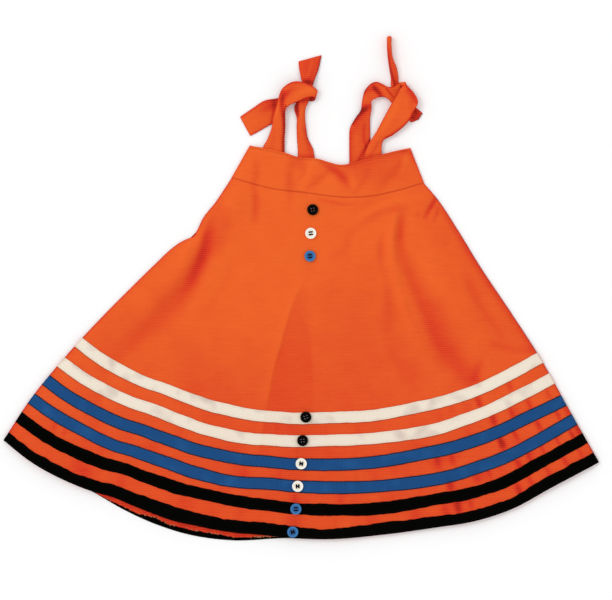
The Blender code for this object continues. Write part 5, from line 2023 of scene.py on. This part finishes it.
        # Dark maroon stitches across the overlocked edge: the stitches, and painted shade in the gaps between
        # them
        top = straps.tops["strap_front_left"]
        ticks = self.overlock(top[int(0.66 * len(top)) : -3])
        self.sew("strap_overlock_and_gap_shade", ticks, "maroon", Slot.ORANGE, 2.6)
        tufts = ((-205, -170, 22), (-170, -60, 26), (-262, -205, 8), (-60, -26, 34), (-137, -133, 5))
        threads = self.fray(skirt.raw_run, tufts, (0.25, -1.0, 0.0), 5)
        self.sew("hem_loose_threads", threads, "raw", Slot.ORANGE, 1.5)
        end = straps.tops["strap_back_right"][0][::3] + [0, 0, 0.1]
        leans = (-0.9, -0.5, 0, 0.4, -0.7, 0.2, 0.6, -0.2, 0.3)
        lines = [(place, [1, lean, 0.0], 1.0) for place, lean in zip(end, leans)]
        self.sew("strap_loose_threads", lines, "red", Slot.ORANGE, 1.4)


# ---- studio


@dataclass
class Studio:
    """Pale floor, soft light and a camera straight above.

    Attributes:
        room: The workroom.
        middle: Point under the middle of the picture, in metres.
        span: Width of the floor that the picture takes in.
        distance: Height of the camera.
        sky: Strength of the even light.
        key: Strength of the key light.
        key_turn: Its direction from the left, and its height, in degrees.
        key_softness: Its width as seen from the garment, in degrees.
    """

    room: Workroom
    middle: tuple = (0.0065, -0.0149)
    span: float = 0.7956
    distance: float = 4.0
    sky: float = 0.86
    key: float = 0.62
    key_turn: tuple = (155.0, 50.0)
    key_softness: float = 24.0

    def build(self) -> None:
        """Build floor, lights and camera."""
        scene = bpy.context.scene
        scene.view_settings.view_transform = "Standard"
        bpy.ops.object.select_all(action="DESELECT")
        bpy.ops.mesh.primitive_plane_add(size=14.0, location=(0, 0, -0.0002))
        floor = bpy.context.active_object
        floor.name = "matt_board"
        floor.data.materials.append(self.room.finishes["board"])
        world = bpy.data.worlds.new("studio")
        world.use_nodes = True
        background = world.node_tree.nodes["Background"]
        background.inputs["Color"].default_value = (1.0, 1.0, 1.0, 1.0)
        background.inputs["Strength"].default_value = self.sky
        scene.world = world
        light = bpy.data.lights.new("key", "SUN")
        light.energy, light.angle = self.key, math.radians(self.key_softness)
        lamp = bpy.data.objects.new("key", light)
        turn, height = (math.radians(value) for value in self.key_turn)
        lamp.rotation_euler = (0.0, math.pi / 2 - height, turn)
        camera = bpy.data.cameras.new("camera")
        camera.sensor_width = 36.0
        camera.lens = camera.sensor_width * self.distance / self.span
        camera.clip_start, camera.clip_end = 0.05, 50.0
        viewer = bpy.data.objects.new("camera", camera)
        viewer.location = (*self.middle, self.distance)
        for item in (lamp, viewer):
            scene.collection.objects.link(item)
        scene.camera = viewer


def plan_shift() -> np.ndarray:
    """Find how the plan sits in the frame, from the hem's and the bodice's solids.

    Returns:
        Shift in millimetres.
    """
    low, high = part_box("skirt_front")[0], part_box("front_tape_hem")[1]
    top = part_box("bodice_front")[1].y / MM - max(y for _, y in NECKLINE)
    return np.array([0.5 * (low.x + high.x) / MM, top, 0.0])


def main() -> None:
    """Build the garment, piece by piece."""
    logging.basicConfig(level=logging.INFO, format="%(message)s")
    room = Workroom(plan_shift(), {key: finish.build() for key, finish in FINISHES.items()})
    LOG.info("plan shift %s", room.shift)
    Studio(room).build()
    skirt = Skirt(room)
    tapes = SkirtTapes(room, skirt)
    bodice, straps = Bodice(room), Straps(room)
    for piece in (skirt, tapes, bodice, straps, Buttons(room)):
        piece.build()
    Sewing(room).build(skirt, tapes, bodice, straps)


if __name__ == "__main__":
    main()
